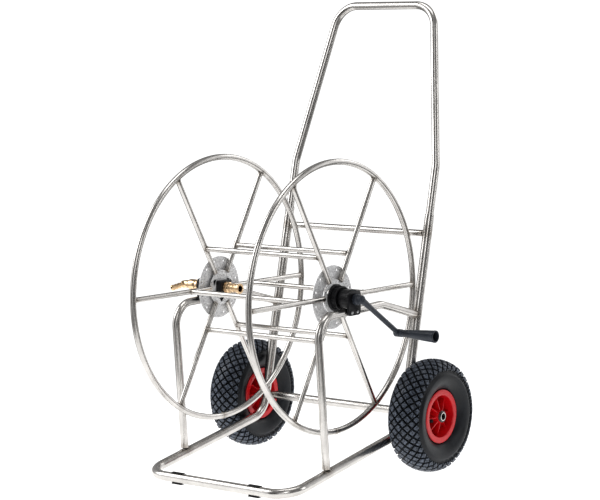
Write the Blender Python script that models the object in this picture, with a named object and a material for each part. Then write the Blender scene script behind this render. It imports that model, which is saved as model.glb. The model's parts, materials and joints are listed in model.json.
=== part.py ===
"""Garden hose reel cart: a bent stainless tube frame on two pneumatic wheels, with a
plug-in handle, a wire-spoked hose drum that turns in two bearings, a crank, and a
swivelling brass inlet.

The cart is laid out in its own axes: x across, from the middle between the two drum
flanges towards the crank; y backwards, from the drum's axis towards the handle; z up
from the floor. The empty "cart" then moves everything so that the centre of the
cart's outline stands on the world's origin. All sizes are in metres.
"""
import math

import bmesh
import bpy
from mathutils import Matrix, Vector

GAP = 0.0003                     # left between pieces that touch, and round every pin and bush
OVERCUT = 0.004                  # how far a cutter runs past the face that it opens
LAP = 0.00001                    # by which a barrel's bore stays inside its end plate's
MERGE = 1e-7                     # corners nearer than this are one
WHEEL_STEPS = 24                 # flats round the tyres and rims, with a corner at the foot
RING_STEPS = 36                  # straight runs round a flange's ring
DISC_STEPS = 36                  # flats round the discs and hub plates
DISC_HOLE_STEPS = 6
HUB_STEPS = 20                   # flats round the hubs, the bearings and the axle
NUT_STEPS = 24                   # flats round the union nut and the grip
BORE_STEPS = 16                  # flats round the elbow and the wider bores
PIN_STEPS = 12                   # flats round pins, screws and rods
TUBE_STEPS = 10                  # flats round the frame's tubes
SPOKE_STEPS = 8                  # flats round rings, spokes, drum bars and screw holes
CLIP_STEPS = 8                   # straight runs round a foot clip
CORNER_STEPS = 3                 # straight runs round a plate's corner
BEND_STEP = math.radians(20)     # between the sections of a bent tube
SOFT_EDGE = math.radians(35)     # faces that meet more bluntly than this are shaded smooth

# Wheels
WHEEL_RADIUS = 0.130
TYRE_WIDTH = 0.085
TYRE_WALL = 0.006
TYRE_SHAPE = ((0.62, 0.13), (1.0, 0.45), (0.93, 0.66), (0.62, 0.87))   # part of the way out and up
TYRE_INSIDE = ((1.0, 0.42, 1.0, 0.0), (0.62, 0.87, 0.5, 0.9))   # the same, and the wall's slant
TYRE_CLEARANCE = 0.0045          # between the tyres and the uprights
RIM_FLANGE_RADIUS = 0.062
RIM_SEAT_RADIUS = 0.050
RIM_WIDTH = 0.061
RIM_WALL = 0.003
RIM_HUB_RADIUS = 0.018
BUSH_WALL = 0.0022
BUSH_PROUD = 0.0005              # how far the bushes stand out of the rims
AXLE_RADIUS = 0.010
AXLE_BORE_RADIUS = 0.0078
AXLE_STICK_OUT = 0.004           # past the outer face of the wheel's bush
SPACER_RADIUS = 0.014
LOCK_RING_RADIUS = 0.0135
LOCK_RING_THICKNESS = 0.0015
VALVE_RADIUS = 0.004
VALVE_LENGTH = 0.022
VALVE_TAPER = 0.8                # the stem's tip against its foot
VALVE_ANGLE = math.radians(193)  # round the wheel, from straight back
VALVE_TILT = math.radians(60)    # of the stem, outwards from the wheel's plane

# Base loop and rear uprights, bent from one tube
FRAME_RADIUS = 0.011
FRAME_WALL = 0.0012
FRAME_BESIDE_DRUM = 0.041        # from a flange's plane to the centre line of the rails
FRONT_BAR_Y = -0.221
RAIL_RISE = math.radians(10.3)
CORNER_RADIUS = 0.055
RING_BEHIND_UPRIGHT = 0.0913     # from an upright at the axle's height back to the drum's edge
UPRIGHT_LEAN = math.radians(12.6)
REAR_BEND_RADIUS = 0.060
JOINT_ABOVE_DRUM = 0.164         # from the drum's axis to the top of the uprights
CROSS_RADIUS = 0.0078
CROSS_BELOW_JOINT = 0.043

# Foot clips on the front bar
CLIP_WALL = 0.002
CLIP_LENGTH = 0.030
CLIP_X = 0.111
CLIP_MOUTH = math.radians(70)    # half of the open side, which faces forwards
CLIP_SOLE = 0.012                # width of the flat underside
CLIP_SOLE_END = math.radians(-45)

# Handle
HANDLE_RADIUS = 0.0095
HANDLE_WALL = 0.0012
PLUG_RADIUS = 0.0089
PLUG_LENGTH = 0.080
KNEE_ABOVE_JOINT = 0.114
HANDLE_LEAN = math.radians(13.8)
HANDLE_TOP = 1.068               # height of the grip's centre line
HANDLE_TOP_X = 0.1375            # where the legs' lines would meet the grip's
KNEE_RADIUS = 0.070
GRIP_CORNER_RADIUS = 0.060

# Side tubes, which carry the drum's bearings
SIDE_RADIUS = 0.009
SIDE_WALL = 0.0012
SIDE_FOOT_Y = -0.0885
SIDE_LEAN = math.radians(4.9)    # of the front leg, forwards
SIDE_BELOW_DRUM = 0.029          # from the drum's axis down to the centre line
SIDE_RISE = math.radians(1.7)
SIDE_FALL_Y = 0.118              # where the tube turns down to the upright
SIDE_FALL = math.radians(15.1)
SIDE_BEND_RADIUS = 0.050

# Drum
DRUM_HEIGHT = 0.419              # height of its axis
FLANGE_X = 0.165                 # plane of each flange
RING_RADIUS = 0.302
RING_TUBE_RADIUS = 0.007
RING_WALL = 0.0012
RING_BUTT = 0.0004               # between the ring's two ends
SPOKE_RADIUS = 0.006
SPOKE_WALL = 0.001
SPOKES = 6
BAR_CIRCLE = 0.108
PLATE_RADIUS = 0.040
PLATE_THICKNESS = 0.003
PLATE_WINDOWS = 3
WINDOW_RIM = 0.0047              # from the windows' tip to the plate's edge
WINDOW_DEPTH = 0.011             # from their tip to their straight side
WINDOW_WIDTH = 0.019
WINDOW_BLUNT = 0.18              # of each side, cut off at its corners
DISC_RADIUS = 0.0715
DISC_THICKNESS = 0.002
DISC_HOLES = 12
DISC_HOLE_RADIUS = 0.0025
DISC_HOLE_CIRCLE = 0.062
DISC_BORE_RADIUS = 0.0358

# Bearing housings: a barrel over each side tube, and an end plate screwed to its side
BARREL_RADIUS = 0.02125
BARREL_BESIDE_DRUM = 0.023       # from a flange's plane to the barrel's end
END_PLATE = 0.005
END_PLATE_WIDTH = 0.046
END_PLATE_ABOVE = 0.018          # above the drum's axis
END_PLATE_BELOW = 0.036          # below it, down the outside of the side tube
END_PLATE_CORNER = 0.008
JOURNAL_RADIUS = 0.012
SCREW_PITCH = 0.020
SCREW_RADIUS = 0.002
SCREW_HEAD_RADIUS = 0.0036
SCREW_HEAD = 0.0026
SCREW_TOP = 0.6                  # the flat of the head against its whole
SCREW_PAST = 0.002               # past the side tube's far wall

# Hubs between the flanges and the bearings
HUB_FLANGE = 0.0045
RIGHT_HUB_FLANGE_RADIUS = 0.0305
LEFT_HUB_RIM = 0.0046            # from the left hub's flange to the hub plate's edge
HUB_STEP_RADIUS = 0.0285
HUB_STEP = 0.0018
HUB_BARREL_RADIUS = 0.027
HUB_TO_HOUSING = 0.001
CRANK_END_RADIUS = 0.008
CRANK_END_LENGTH = 0.014
SPIGOT_RADIUS = 0.010
RIGHT_SPIGOT_LENGTH = 0.006      # into the drum, past the plate

# Water way
WATER_RADIUS = 0.006
NOSE_RADIUS = 0.011
NOSE_BORE_RADIUS = 0.008
NOSE_LENGTH = 0.006
NUT_RADIUS = 0.0148
NUT_LIP = 0.0015
ELBOW_COLLAR = 0.002
SWIVEL_RADIUS = 0.0055
SWIVEL_NECK_RADIUS = 0.0075
SEAL_WIDTH = 0.003
ELBOW_BODY_RADIUS = 0.0125
ELBOW_BODY_LENGTH = 0.030
ELBOW_NECK_RADIUS = 0.009
ELBOW_CORE = 0.9                 # end of the straight body inside the bend, against the neck
ELBOW_BEND = math.radians(45)
ELBOW_BEND_RADIUS = 0.014
ELBOW_TURN = math.radians(25)    # of the tail round the drum's axis, down from straight ahead
TAIL_RADIUS = 0.0068
TAIL_BORE_RADIUS = 0.0042
TAIL_LENGTH = 0.030
TAIL_RIBS = 3
TAIL_LEAD = 0.3                  # of the ribs' pitch, from the bend down to the tail's radius
RIB_CREST = 1.08                 # against the tail's radius
RIB_ROOT = 0.9
BLOCK_WIDTH = 0.042
BLOCK_HEIGHT = 0.034
BLOCK_LENGTH = 0.0127
BLOCK_CORNER = 0.004
OUTLET_COLLAR_RADIUS = 0.013
OUTLET_COLLAR_LENGTH = 0.011
OUTLET_RADIUS = 0.0115
OUTLET_BORE_RADIUS = 0.0075
OUTLET_LENGTH = 0.043
OUTLET_SCREW_IN = 0.006

# Crank
CRANK_HUB_RADIUS = 0.0125
CRANK_HUB_LENGTH = 0.010
CRANK_NECK_RADIUS = 0.0105
CRANK_NECK_LENGTH = 0.014
CRANK_DOME = 0.7                 # the flat of the neck's end against its whole
CRANK_LENGTH = 0.164
CRANK_ANGLE = math.radians(-33)  # from straight back
ARM_RADIUS = 0.0062
ARM_BOSS_RADIUS = 0.009
ARM_BOSS_LENGTH = 0.014
PIN_RADIUS = 0.004
PIN_HEAD_RADIUS = 0.0065
PIN_HEAD = 0.0025
GRIP_LENGTH = 0.096
GRIP_START_RADIUS = 0.009
GRIP_END_RADIUS = 0.014
GRIP_MOUTH_RADIUS = 0.011
GRIP_MOUTH_DEPTH = 0.024

LEFT, RIGHT = -1, 1
SIDES = {LEFT: "left", RIGHT: "right"}

# What follows from the drum's size
FRAME_X = FLANGE_X + FRAME_BESIDE_DRUM           # centre line of rails, side tubes, uprights
BARREL_INNER_X = FLANGE_X + BARREL_BESIDE_DRUM
WHEEL_X = FRAME_X + FRAME_RADIUS + TYRE_CLEARANCE + TYRE_WIDTH / 2
UPRIGHT_Y = RING_RADIUS - RING_BEHIND_UPRIGHT    # centre line at the height of the axle
SIDE_TOP = DRUM_HEIGHT - SIDE_BELOW_DRUM         # centre line under the drum's axis
JOINT_HEIGHT = DRUM_HEIGHT + JOINT_ABOVE_DRUM    # top of the uprights, round the handle
CROSS_HEIGHT = JOINT_HEIGHT - CROSS_BELOW_JOINT
KNEE_HEIGHT = JOINT_HEIGHT + KNEE_ABOVE_JOINT
LEFT_HUB_FLANGE_RADIUS = PLATE_RADIUS - LEFT_HUB_RIM
WINDOW_OUT = PLATE_RADIUS - WINDOW_RIM
WINDOW_IN = WINDOW_OUT - WINDOW_DEPTH

# Where pieces meet
BAR_HEIGHT = FRAME_RADIUS + GAP + CLIP_WALL
AXLE_Y = UPRIGHT_Y + (FRAME_RADIUS + AXLE_RADIUS + GAP) / math.cos(UPRIGHT_LEAN)
BUSH_HALF = RIM_WIDTH / 2 + BUSH_PROUD
AXLE_HALF = WHEEL_X + BUSH_HALF + AXLE_STICK_OUT
END_PLATE_X = FRAME_X + SIDE_RADIUS + GAP         # face towards the side tube
BEARING_OUT = END_PLATE_X + END_PLATE
HALF_PLATE = PLATE_THICKNESS / 2
DISC_INNER = SPOKE_RADIUS + GAP                  # from the flange's plane, towards -x
CRANK_HUB_X = BEARING_OUT + HUB_TO_HOUSING
ARM_X = CRANK_HUB_X + CRANK_HUB_LENGTH + CRANK_NECK_LENGTH - ARM_RADIUS
CRANK_Y = CRANK_LENGTH * math.cos(CRANK_ANGLE)
CRANK_Z = CRANK_LENGTH * math.sin(CRANK_ANGLE)
GRIP_X = ARM_X + ARM_BOSS_LENGTH / 2 + GAP
GRIP_END_X = GRIP_X + GRIP_LENGTH
KNEE_Y = UPRIGHT_Y + (KNEE_HEIGHT - WHEEL_RADIUS) * math.tan(UPRIGHT_LEAN)
HANDLE_TOP_Y = KNEE_Y + (HANDLE_TOP - KNEE_HEIGHT) * math.tan(HANDLE_LEAN)
CENTRE_X = (GRIP_END_X - WHEEL_X - TYRE_WIDTH / 2) / 2
CENTRE_Y = (HANDLE_TOP_Y + HANDLE_RADIUS - RING_RADIUS - RING_TUBE_RADIUS) / 2
AXIS = Vector((0, 0, DRUM_HEIGHT))

FINISHES = {
    "steel": ((0.62, 0.61, 0.59), 0.28, 1.0),
    "disc_steel": ((0.66, 0.66, 0.65), 0.45, 1.0),
    "black_plastic": ((0.02, 0.02, 0.023), 0.45, 0.0),
    "grey_plastic": ((0.055, 0.06, 0.07), 0.4, 0.0),
    "brass": ((0.78, 0.55, 0.24), 0.25, 1.0),
    "tyre": ((0.035, 0.038, 0.045), 0.75, 0.0),
    "rim": ((0.72, 0.01, 0.02), 0.35, 0.0),
    "zinc": ((0.70, 0.71, 0.72), 0.35, 1.0),
    "rubber": ((0.02, 0.02, 0.02), 0.7, 0.0),
}


def clear_scene():
    for obj in list(bpy.data.objects):
        bpy.data.objects.remove(obj)


def make_materials():
    for name, (colour, roughness, metallic) in FINISHES.items():
        material = bpy.data.materials.new(name)
        material.use_nodes = True
        shader = material.node_tree.nodes["Principled BSDF"]
        shader.inputs["Base Color"].default_value = (*colour, 1)
        shader.inputs["Roughness"].default_value = roughness
        shader.inputs["Metallic"].default_value = metallic


def add_empty(name, location, parent=None):
    empty = bpy.data.objects.new(name, None)
    empty.location = location
    empty.parent = parent
    bpy.context.scene.collection.objects.link(empty)
    return empty


def add_piece(name, mesh, finish, parent, location=(0, 0, 0)):
    """Adds a mesh as one of the cart's pieces, hung on a parent empty."""
    mesh.name = name
    mesh.materials.clear()
    mesh.materials.append(bpy.data.materials[finish])
    mesh.shade_smooth()
    mesh.set_sharp_from_angle(angle=SOFT_EDGE)
    piece = bpy.data.objects.new(name, mesh)
    piece.location = location
    piece.parent = parent
    bpy.context.scene.collection.objects.link(piece)
    return piece


def mesh_of(bm):
    bmesh.ops.remove_doubles(bm, verts=bm.verts, dist=MERGE)
    bmesh.ops.recalc_face_normals(bm, faces=bm.faces)
    mesh = bpy.data.meshes.new("shape")
    bm.to_mesh(mesh)
    bm.free()
    return mesh


def mesh_of_curve(curve):
    """The mesh of a curve's bevelled or extruded shape, with its caps joined to its sides."""
    holder = bpy.data.objects.new("shape", curve)
    bm = bmesh.new()
    bm.from_mesh(bpy.data.meshes.new_from_object(holder))
    bpy.data.objects.remove(holder)
    return mesh_of(bm)


def turned(profile, steps):
    """A shape turned round x. The profile is a list of (x, radius). It is a closed loop
    unless it starts and ends on the axis."""
    bm = bmesh.new()
    verts = [bm.verts.new((x, 0, radius)) for x, radius in profile]
    edges = [bm.edges.new(pair) for pair in zip(verts, verts[1:])]
    if profile[0][1] > 0 or profile[-1][1] > 0:
        edges.append(bm.edges.new((verts[-1], verts[0])))
    bmesh.ops.spin(bm, geom=verts + edges, axis=(1, 0, 0), cent=(0, 0, 0), dvec=(0, 0, 0),
                   angle=math.tau, steps=steps, use_merge=True, use_duplicate=False)
    return mesh_of(bm)


def rounded_path(corners, radii):
    """Points along straight runs between corners, with an arc of the given radius at each
    inner corner."""
    corners = [Vector(corner) for corner in corners]
    points = [corners[0]]
    for before, corner, after, radius in zip(corners, corners[1:], corners[2:], radii):
        u = (before - corner).normalized()
        v = (after - corner).normalized()
        turn = math.pi - u.angle(v)
        centre = corner + (u + v).normalized() * radius / math.cos(turn / 2)
        reach = radius * math.tan(turn / 2)
        first = corner + u * reach - centre
        axis = u.cross(v).normalized()
        count = max(2, math.ceil(turn / BEND_STEP))
        for k in range(count + 1):
            points.append(centre + Matrix.Rotation(-turn * k / count, 3, axis) @ first)
    points.append(corners[-1])
    return points


def swept(points, radii, flats, caps):
    """A section with an even number of flats, swept along points. Radii is one radius, or
    one for each point."""
    curve = bpy.data.curves.new("path", "CURVE")
    curve.dimensions = "3D"
    curve.twist_mode = "MINIMUM"
    curve.bevel_depth = 1.0
    curve.bevel_resolution = flats // 2 - 2
    curve.use_fill_caps = caps
    spline = curve.splines.new("POLY")
    spline.points.add(len(points) - 1)
    for k, point in enumerate(points):
        spline.points[k].co = (*point, 1)
        spline.points[k].radius = radii[k] if isinstance(radii, list) else radii
    return mesh_of_curve(curve)


def plate(outlines, length, start):
    """Closed outlines in (y, z), the first one outside and the rest holes, extruded along
    x from start."""
    curve = bpy.data.curves.new("outline", "CURVE")
    curve.dimensions = "2D"
    curve.fill_mode = "BOTH"
    curve.extrude = length / 2
    for outline in outlines:
        spline = curve.splines.new("POLY")
        spline.points.add(len(outline) - 1)
        spline.use_cyclic_u = True
        for k, (y, z) in enumerate(outline):
            spline.points[k].co = (y, z, 0, 1)
    mesh = mesh_of_curve(curve)
    onto_yz = Matrix(((0, 0, 1), (1, 0, 0), (0, 1, 0))).to_4x4()
    mesh.transform(Matrix.Translation((start + length / 2, 0, 0)) @ onto_yz)
    return mesh


def circle(radius, count, y=0.0, z=0.0):
    angles = [math.tau * k / count for k in range(count)]
    return [(y + radius * math.cos(a), z + radius * math.sin(a)) for a in angles]


def around(radius, flats):
    """The radius at the corners of a polygon whose flats touch a circle."""
    return radius / math.cos(math.pi / flats)


def rounded_box(y_low, y_high, z_low, z_high, corner):
    """The outline of a rectangle with round corners."""
    outline = []
    for k, (y, z) in enumerate(((y_high, z_high), (y_low, z_high), (y_low, z_low), (y_high, z_low))):
        centre_y = y - math.copysign(corner, y - (y_low + y_high) / 2)
        centre_z = z - math.copysign(corner, z - (z_low + z_high) / 2)
        for j in range(CORNER_STEPS + 1):
            angle = math.pi / 2 * (k + j / CORNER_STEPS)
            outline.append((centre_y + corner * math.cos(angle), centre_z + corner * math.sin(angle)))
    return outline


def rod_between(start, end, radius, flats=PIN_STEPS):
    return swept([Vector(start), Vector(end)], radius, flats, True)


def clipped(mesh, x, direction):
    """The part of a closed mesh on one side of a plane across x, closed again."""
    bm = bmesh.new()
    bm.from_mesh(mesh)
    geom = bm.verts[:] + bm.edges[:] + bm.faces[:]
    bmesh.ops.bisect_plane(bm, geom=geom, plane_co=(x, 0, 0), plane_no=(direction, 0, 0), clear_inner=True)
    bmesh.ops.holes_fill(bm, edges=[edge for edge in bm.edges if edge.is_boundary])
    return mesh_of(bm)


def joined(meshes):
    """Meshes in one, as the cutter or partner of a Boolean."""
    bm = bmesh.new()
    for mesh in meshes:
        bm.from_mesh(mesh)
    whole = bpy.data.meshes.new("shapes")
    bm.to_mesh(whole)
    bm.free()
    return whole


def boolean(piece, mesh, operation, name):
    """Cuts a mesh from a piece or adds it. The mesh is in the piece's own axes."""
    tool = bpy.data.objects.new(f"{piece.name}_{name}", mesh)
    tool.location = piece.location
    tool.parent = piece.parent
    tool.hide_render = True
    tool.display_type = "WIRE"
    bpy.context.scene.collection.objects.link(tool)
    modifier = piece.modifiers.new(name, "BOOLEAN")
    modifier.operation = operation
    modifier.object = tool


def hollow_tube(name, points, radii, wall, parent, location=(0, 0, 0), flats=TUBE_STEPS):
    """A steel tube with open ends."""
    mesh = swept(points, radii, flats, False)
    piece = add_piece(name, mesh, "steel", parent, location)
    shell = piece.modifiers.new("wall", "SOLIDIFY")
    shell.thickness = wall
    shell.offset = -1
    return piece


def rail_z(y):
    """Height of the rails' centre line."""
    return BAR_HEIGHT + (y - FRONT_BAR_Y) * math.tan(RAIL_RISE)


def upright_y(z):
    """Depth of the rear uprights' centre line."""
    return UPRIGHT_Y + (z - WHEEL_RADIUS) * math.tan(UPRIGHT_LEAN)


def meet(p, slope_p, q, slope_q):
    """Where two lines in (y, z) cross, each through a point with a slope dz/dy."""
    y = (q[1] - p[1] + slope_p * p[0] - slope_q * q[0]) / (slope_p - slope_q)
    return y, p[1] + slope_p * (y - p[0])


def make_base_frame(cart):
    upright_slope = 1 / math.tan(UPRIGHT_LEAN)
    heel = meet((FRONT_BAR_Y, BAR_HEIGHT), math.tan(RAIL_RISE), (UPRIGHT_Y, WHEEL_RADIUS), upright_slope)
    top = (upright_y(JOINT_HEIGHT), JOINT_HEIGHT)
    front = (FRONT_BAR_Y, BAR_HEIGHT)
    half = [top, heel, front]
    corners = [(-FRAME_X, *point) for point in half] + [(FRAME_X, *point) for point in reversed(half)]
    radii = [REAR_BEND_RADIUS, CORNER_RADIUS, CORNER_RADIUS, REAR_BEND_RADIUS]
    path = rounded_path(corners, radii)
    hollow_tube("base_frame_tube", path, FRAME_RADIUS, FRAME_WALL, cart)

    cross_y = upright_y(CROSS_HEIGHT)
    cross_half = FRAME_X - FRAME_RADIUS - GAP
    ends = [(-cross_half, cross_y, CROSS_HEIGHT), (cross_half, cross_y, CROSS_HEIGHT)]
    hollow_tube("rear_cross_tube", ends, CROSS_RADIUS, FRAME_WALL, cart)


def arc(radius, start, end):
    angles = [start + (end - start) * k / CLIP_STEPS for k in range(CLIP_STEPS + 1)]
    return [(radius * math.cos(a), radius * math.sin(a)) for a in angles]


def make_foot_clips(cart):
    inner = FRAME_RADIUS + GAP
    outer = inner + CLIP_WALL
    lip = math.pi - CLIP_MOUTH
    outline = [(-CLIP_SOLE / 2, -outer), (CLIP_SOLE / 2, -outer)]
    outline += arc(outer, CLIP_SOLE_END, lip) + arc(inner / math.cos(lip / CLIP_STEPS), lip, -lip)
    for side, word in SIDES.items():
        mesh = plate([outline], CLIP_LENGTH, -CLIP_LENGTH / 2)
        add_piece(f"{word}_foot_clip", mesh, "rubber", cart, (side * CLIP_X, FRONT_BAR_Y, BAR_HEIGHT))


def make_side_tubes(cart):
    lift = (FRAME_RADIUS + SIDE_RADIUS * math.tan(RAIL_RISE) + GAP) / math.cos(RAIL_RISE)
    foot = (SIDE_FOOT_Y, rail_z(SIDE_FOOT_Y) + lift)
    top_slope = math.tan(SIDE_RISE)
    knee = meet(foot, -1 / math.tan(SIDE_LEAN), (0, SIDE_TOP), top_slope)
    fall = (SIDE_FALL_Y, SIDE_TOP + SIDE_FALL_Y * top_slope)
    weld = meet(fall, -math.tan(SIDE_FALL), (UPRIGHT_Y, WHEEL_RADIUS), 1 / math.tan(UPRIGHT_LEAN))
    off_square = SIDE_FALL - UPRIGHT_LEAN
    stop = (FRAME_RADIUS + GAP + SIDE_RADIUS * abs(math.sin(off_square))) / math.cos(off_square)
    end = (weld[0] - stop * math.cos(SIDE_FALL), weld[1] + stop * math.sin(SIDE_FALL))
    screw_hole = SCREW_RADIUS + GAP
    for side, word in SIDES.items():
        corners = [(0, *point) for point in (foot, knee, fall, end)]
        path = rounded_path(corners, [SIDE_BEND_RADIUS, SIDE_BEND_RADIUS])
        tube = hollow_tube(f"{word}_side_tube", path, SIDE_RADIUS, SIDE_WALL, cart, (side * FRAME_X, 0, 0))
        reach = SIDE_RADIUS + OVERCUT
        holes = [rod_between((-reach, y, screw_z(y)), (reach, y, screw_z(y)), screw_hole, SPOKE_STEPS)
                 for y in (-SCREW_PITCH / 2, SCREW_PITCH / 2)]
        boolean(tube, joined(holes), "DIFFERENCE", "screw_holes")


def screw_z(y):
    """Height of the side tubes' centre line where the bearings' screws cross it."""
    return SIDE_TOP + y * math.tan(SIDE_RISE)


def make_axle(cart):
    profile = [(-AXLE_HALF, AXLE_BORE_RADIUS), (-AXLE_HALF, AXLE_RADIUS),
               (AXLE_HALF, AXLE_RADIUS), (AXLE_HALF, AXLE_BORE_RADIUS)]
    add_piece("wheel_axle", turned(profile, HUB_STEPS), "steel", cart, (0, AXLE_Y, WHEEL_RADIUS))
    inner_face = FRAME_X + FRAME_RADIUS + GAP
    outer_face = WHEEL_X - BUSH_HALF - GAP
    lock_start = WHEEL_X + BUSH_HALF + GAP
    for side, word in SIDES.items():
        for name, start, end, radius, finish in (
                ("wheel_spacer", inner_face, outer_face, SPACER_RADIUS, "black_plastic"),
                ("axle_lock_ring", lock_start, lock_start + LOCK_RING_THICKNESS, LOCK_RING_RADIUS, "zinc")):
            ring = [(side * start, AXLE_RADIUS + GAP), (side * start, radius),
                    (side * end, radius), (side * end, AXLE_RADIUS + GAP)]
            add_piece(f"{word}_{name}", turned(ring, HUB_STEPS), finish, cart, (0, AXLE_Y, WHEEL_RADIUS))


def tyre_profile():
    """Half of the tyre's wall from bead to crown, as (distance from the middle, radius)."""
    half = TYRE_WIDTH / 2
    bead = RIM_WIDTH / 2 - 2 * RIM_WALL - GAP
    flange_top = RIM_FLANGE_RADIUS + GAP
    height = WHEEL_RADIUS - flange_top
    outer = [(bead, RIM_SEAT_RADIUS + GAP), (bead, flange_top)]
    outer += [(bead + (half - bead) * out, flange_top + height * up)
              for out, up in TYRE_SHAPE]
    outer.append((0, WHEEL_RADIUS))
    inner = [(bead - TYRE_WALL, RIM_SEAT_RADIUS + GAP), (bead - TYRE_WALL, flange_top + TYRE_WALL)]
    inner += [(bead + (half - bead) * out - TYRE_WALL * lean, flange_top + height * up - TYRE_WALL * drop)
              for out, up, lean, drop in TYRE_INSIDE]
    inner.append((0, WHEEL_RADIUS - TYRE_WALL))
    return outer, inner


def make_wheel(cart, side, word):
    outer, inner = tyre_profile()
    mirrored = [(-x, r) for x, r in reversed(outer[:-1])]
    back = [(x, r) for x, r in inner[:-1]]
    loop = outer + mirrored + [(-x, r) for x, r in back] + [inner[-1]] + list(reversed(back))
    where = (side * WHEEL_X, AXLE_Y, WHEEL_RADIUS)
    add_piece(f"{word}_tyre", turned(loop, WHEEL_STEPS), "tyre", cart, where)

    edge = RIM_WIDTH / 2
    seat_in = edge - 2 * RIM_WALL
    bore = AXLE_RADIUS + GAP + BUSH_WALL + GAP
    seat_inside = RIM_SEAT_RADIUS - RIM_WALL
    half = [(edge, bore), (edge, RIM_HUB_RADIUS), (RIM_WALL, RIM_HUB_RADIUS + RIM_WALL),
            (RIM_WALL, seat_inside - RIM_WALL), (seat_in, seat_inside),
            (seat_in + RIM_WALL, seat_inside + RIM_WALL),
            (edge - RIM_WALL / 2, RIM_FLANGE_RADIUS - 2 * RIM_WALL),
            (edge, RIM_FLANGE_RADIUS - RIM_WALL / 2), (edge - RIM_WALL / 2, RIM_FLANGE_RADIUS),
            (seat_in, RIM_FLANGE_RADIUS - RIM_WALL), (seat_in, RIM_SEAT_RADIUS)]
    rim_loop = half + [(-x, r) for x, r in reversed(half)]
    add_piece(f"{word}_rim", turned(rim_loop, WHEEL_STEPS), "rim", cart, where)

    bush = [(-BUSH_HALF, AXLE_RADIUS + GAP), (-BUSH_HALF, AXLE_RADIUS + GAP + BUSH_WALL),
            (BUSH_HALF, AXLE_RADIUS + GAP + BUSH_WALL), (BUSH_HALF, AXLE_RADIUS + GAP)]
    add_piece(f"{word}_wheel_bush", turned(bush, HUB_STEPS), "zinc", cart, where)

    tip = VALVE_RADIUS * VALVE_TAPER
    stem = turned([(0, 0), (0, VALVE_RADIUS), (VALVE_LENGTH, tip), (VALVE_LENGTH, 0)], PIN_STEPS)
    foot_radius = seat_inside - RIM_WALL - VALVE_RADIUS
    outwards = side * math.sin(VALVE_TILT)
    spoke = Vector((0, math.cos(VALVE_ANGLE), math.sin(VALVE_ANGLE)))
    direction = Vector((outwards, 0, 0)) - spoke * math.cos(VALVE_TILT)
    foot = spoke * foot_radius + Vector((side * (RIM_WALL + VALVE_RADIUS), 0, 0))
    turn = Vector((1, 0, 0)).rotation_difference(direction).to_matrix().to_4x4()
    stem.transform(Matrix.Translation(foot) @ turn)
    add_piece(f"{word}_valve_stem", stem, "rubber", cart, where)


def make_handle(cart):
    """The two plugs and legs, the knees and the grip, with its origin at the left joint."""
    joint = Vector((-FRAME_X, upright_y(JOINT_HEIGHT), JOINT_HEIGHT))
    along = Vector((0, math.sin(UPRIGHT_LEAN), math.cos(UPRIGHT_LEAN)))
    across = Vector((2 * FRAME_X, 0, 0))
    knee = Vector((-FRAME_X, KNEE_Y, KNEE_HEIGHT)) - joint
    top = Vector((-HANDLE_TOP_X, HANDLE_TOP_Y, HANDLE_TOP)) - joint
    shoulder = along * GAP
    corners = [shoulder, knee, top, top + Vector((2 * HANDLE_TOP_X, 0, 0)), knee + across, shoulder + across]
    bends = [KNEE_RADIUS, GRIP_CORNER_RADIUS, GRIP_CORNER_RADIUS, KNEE_RADIUS]
    path = rounded_path(corners, bends)
    swage = along * (HANDLE_RADIUS - PLUG_RADIUS)
    left_plug = [-along * PLUG_LENGTH, shoulder - swage]
    right_plug = [point + across for point in reversed(left_plug)]
    radii = [PLUG_RADIUS] * 2 + [HANDLE_RADIUS] * len(path) + [PLUG_RADIUS] * 2
    points = left_plug + path + right_plug
    hollow_tube("handle_tube", points, radii, HANDLE_WALL, cart, joint)


def on_circle(radius, angle):
    return Vector((0, radius * math.cos(angle), radius * math.sin(angle)))


def window(angle):
    """The outline of a hub plate's window: a triangle with blunt corners, pointing outwards."""
    half = WINDOW_WIDTH / 2
    corners = [Vector((WINDOW_IN, half)), Vector((WINDOW_OUT, 0)), Vector((WINDOW_IN, -half))]
    outline = []
    for before, corner, after in zip(corners[-1:] + corners[:-1], corners, corners[1:] + corners[:1]):
        outline += [corner.lerp(before, WINDOW_BLUNT), corner.lerp(after, WINDOW_BLUNT)]
    turn = Matrix.Rotation(angle, 2)
    return [tuple(turn @ point) for point in outline]


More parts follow.
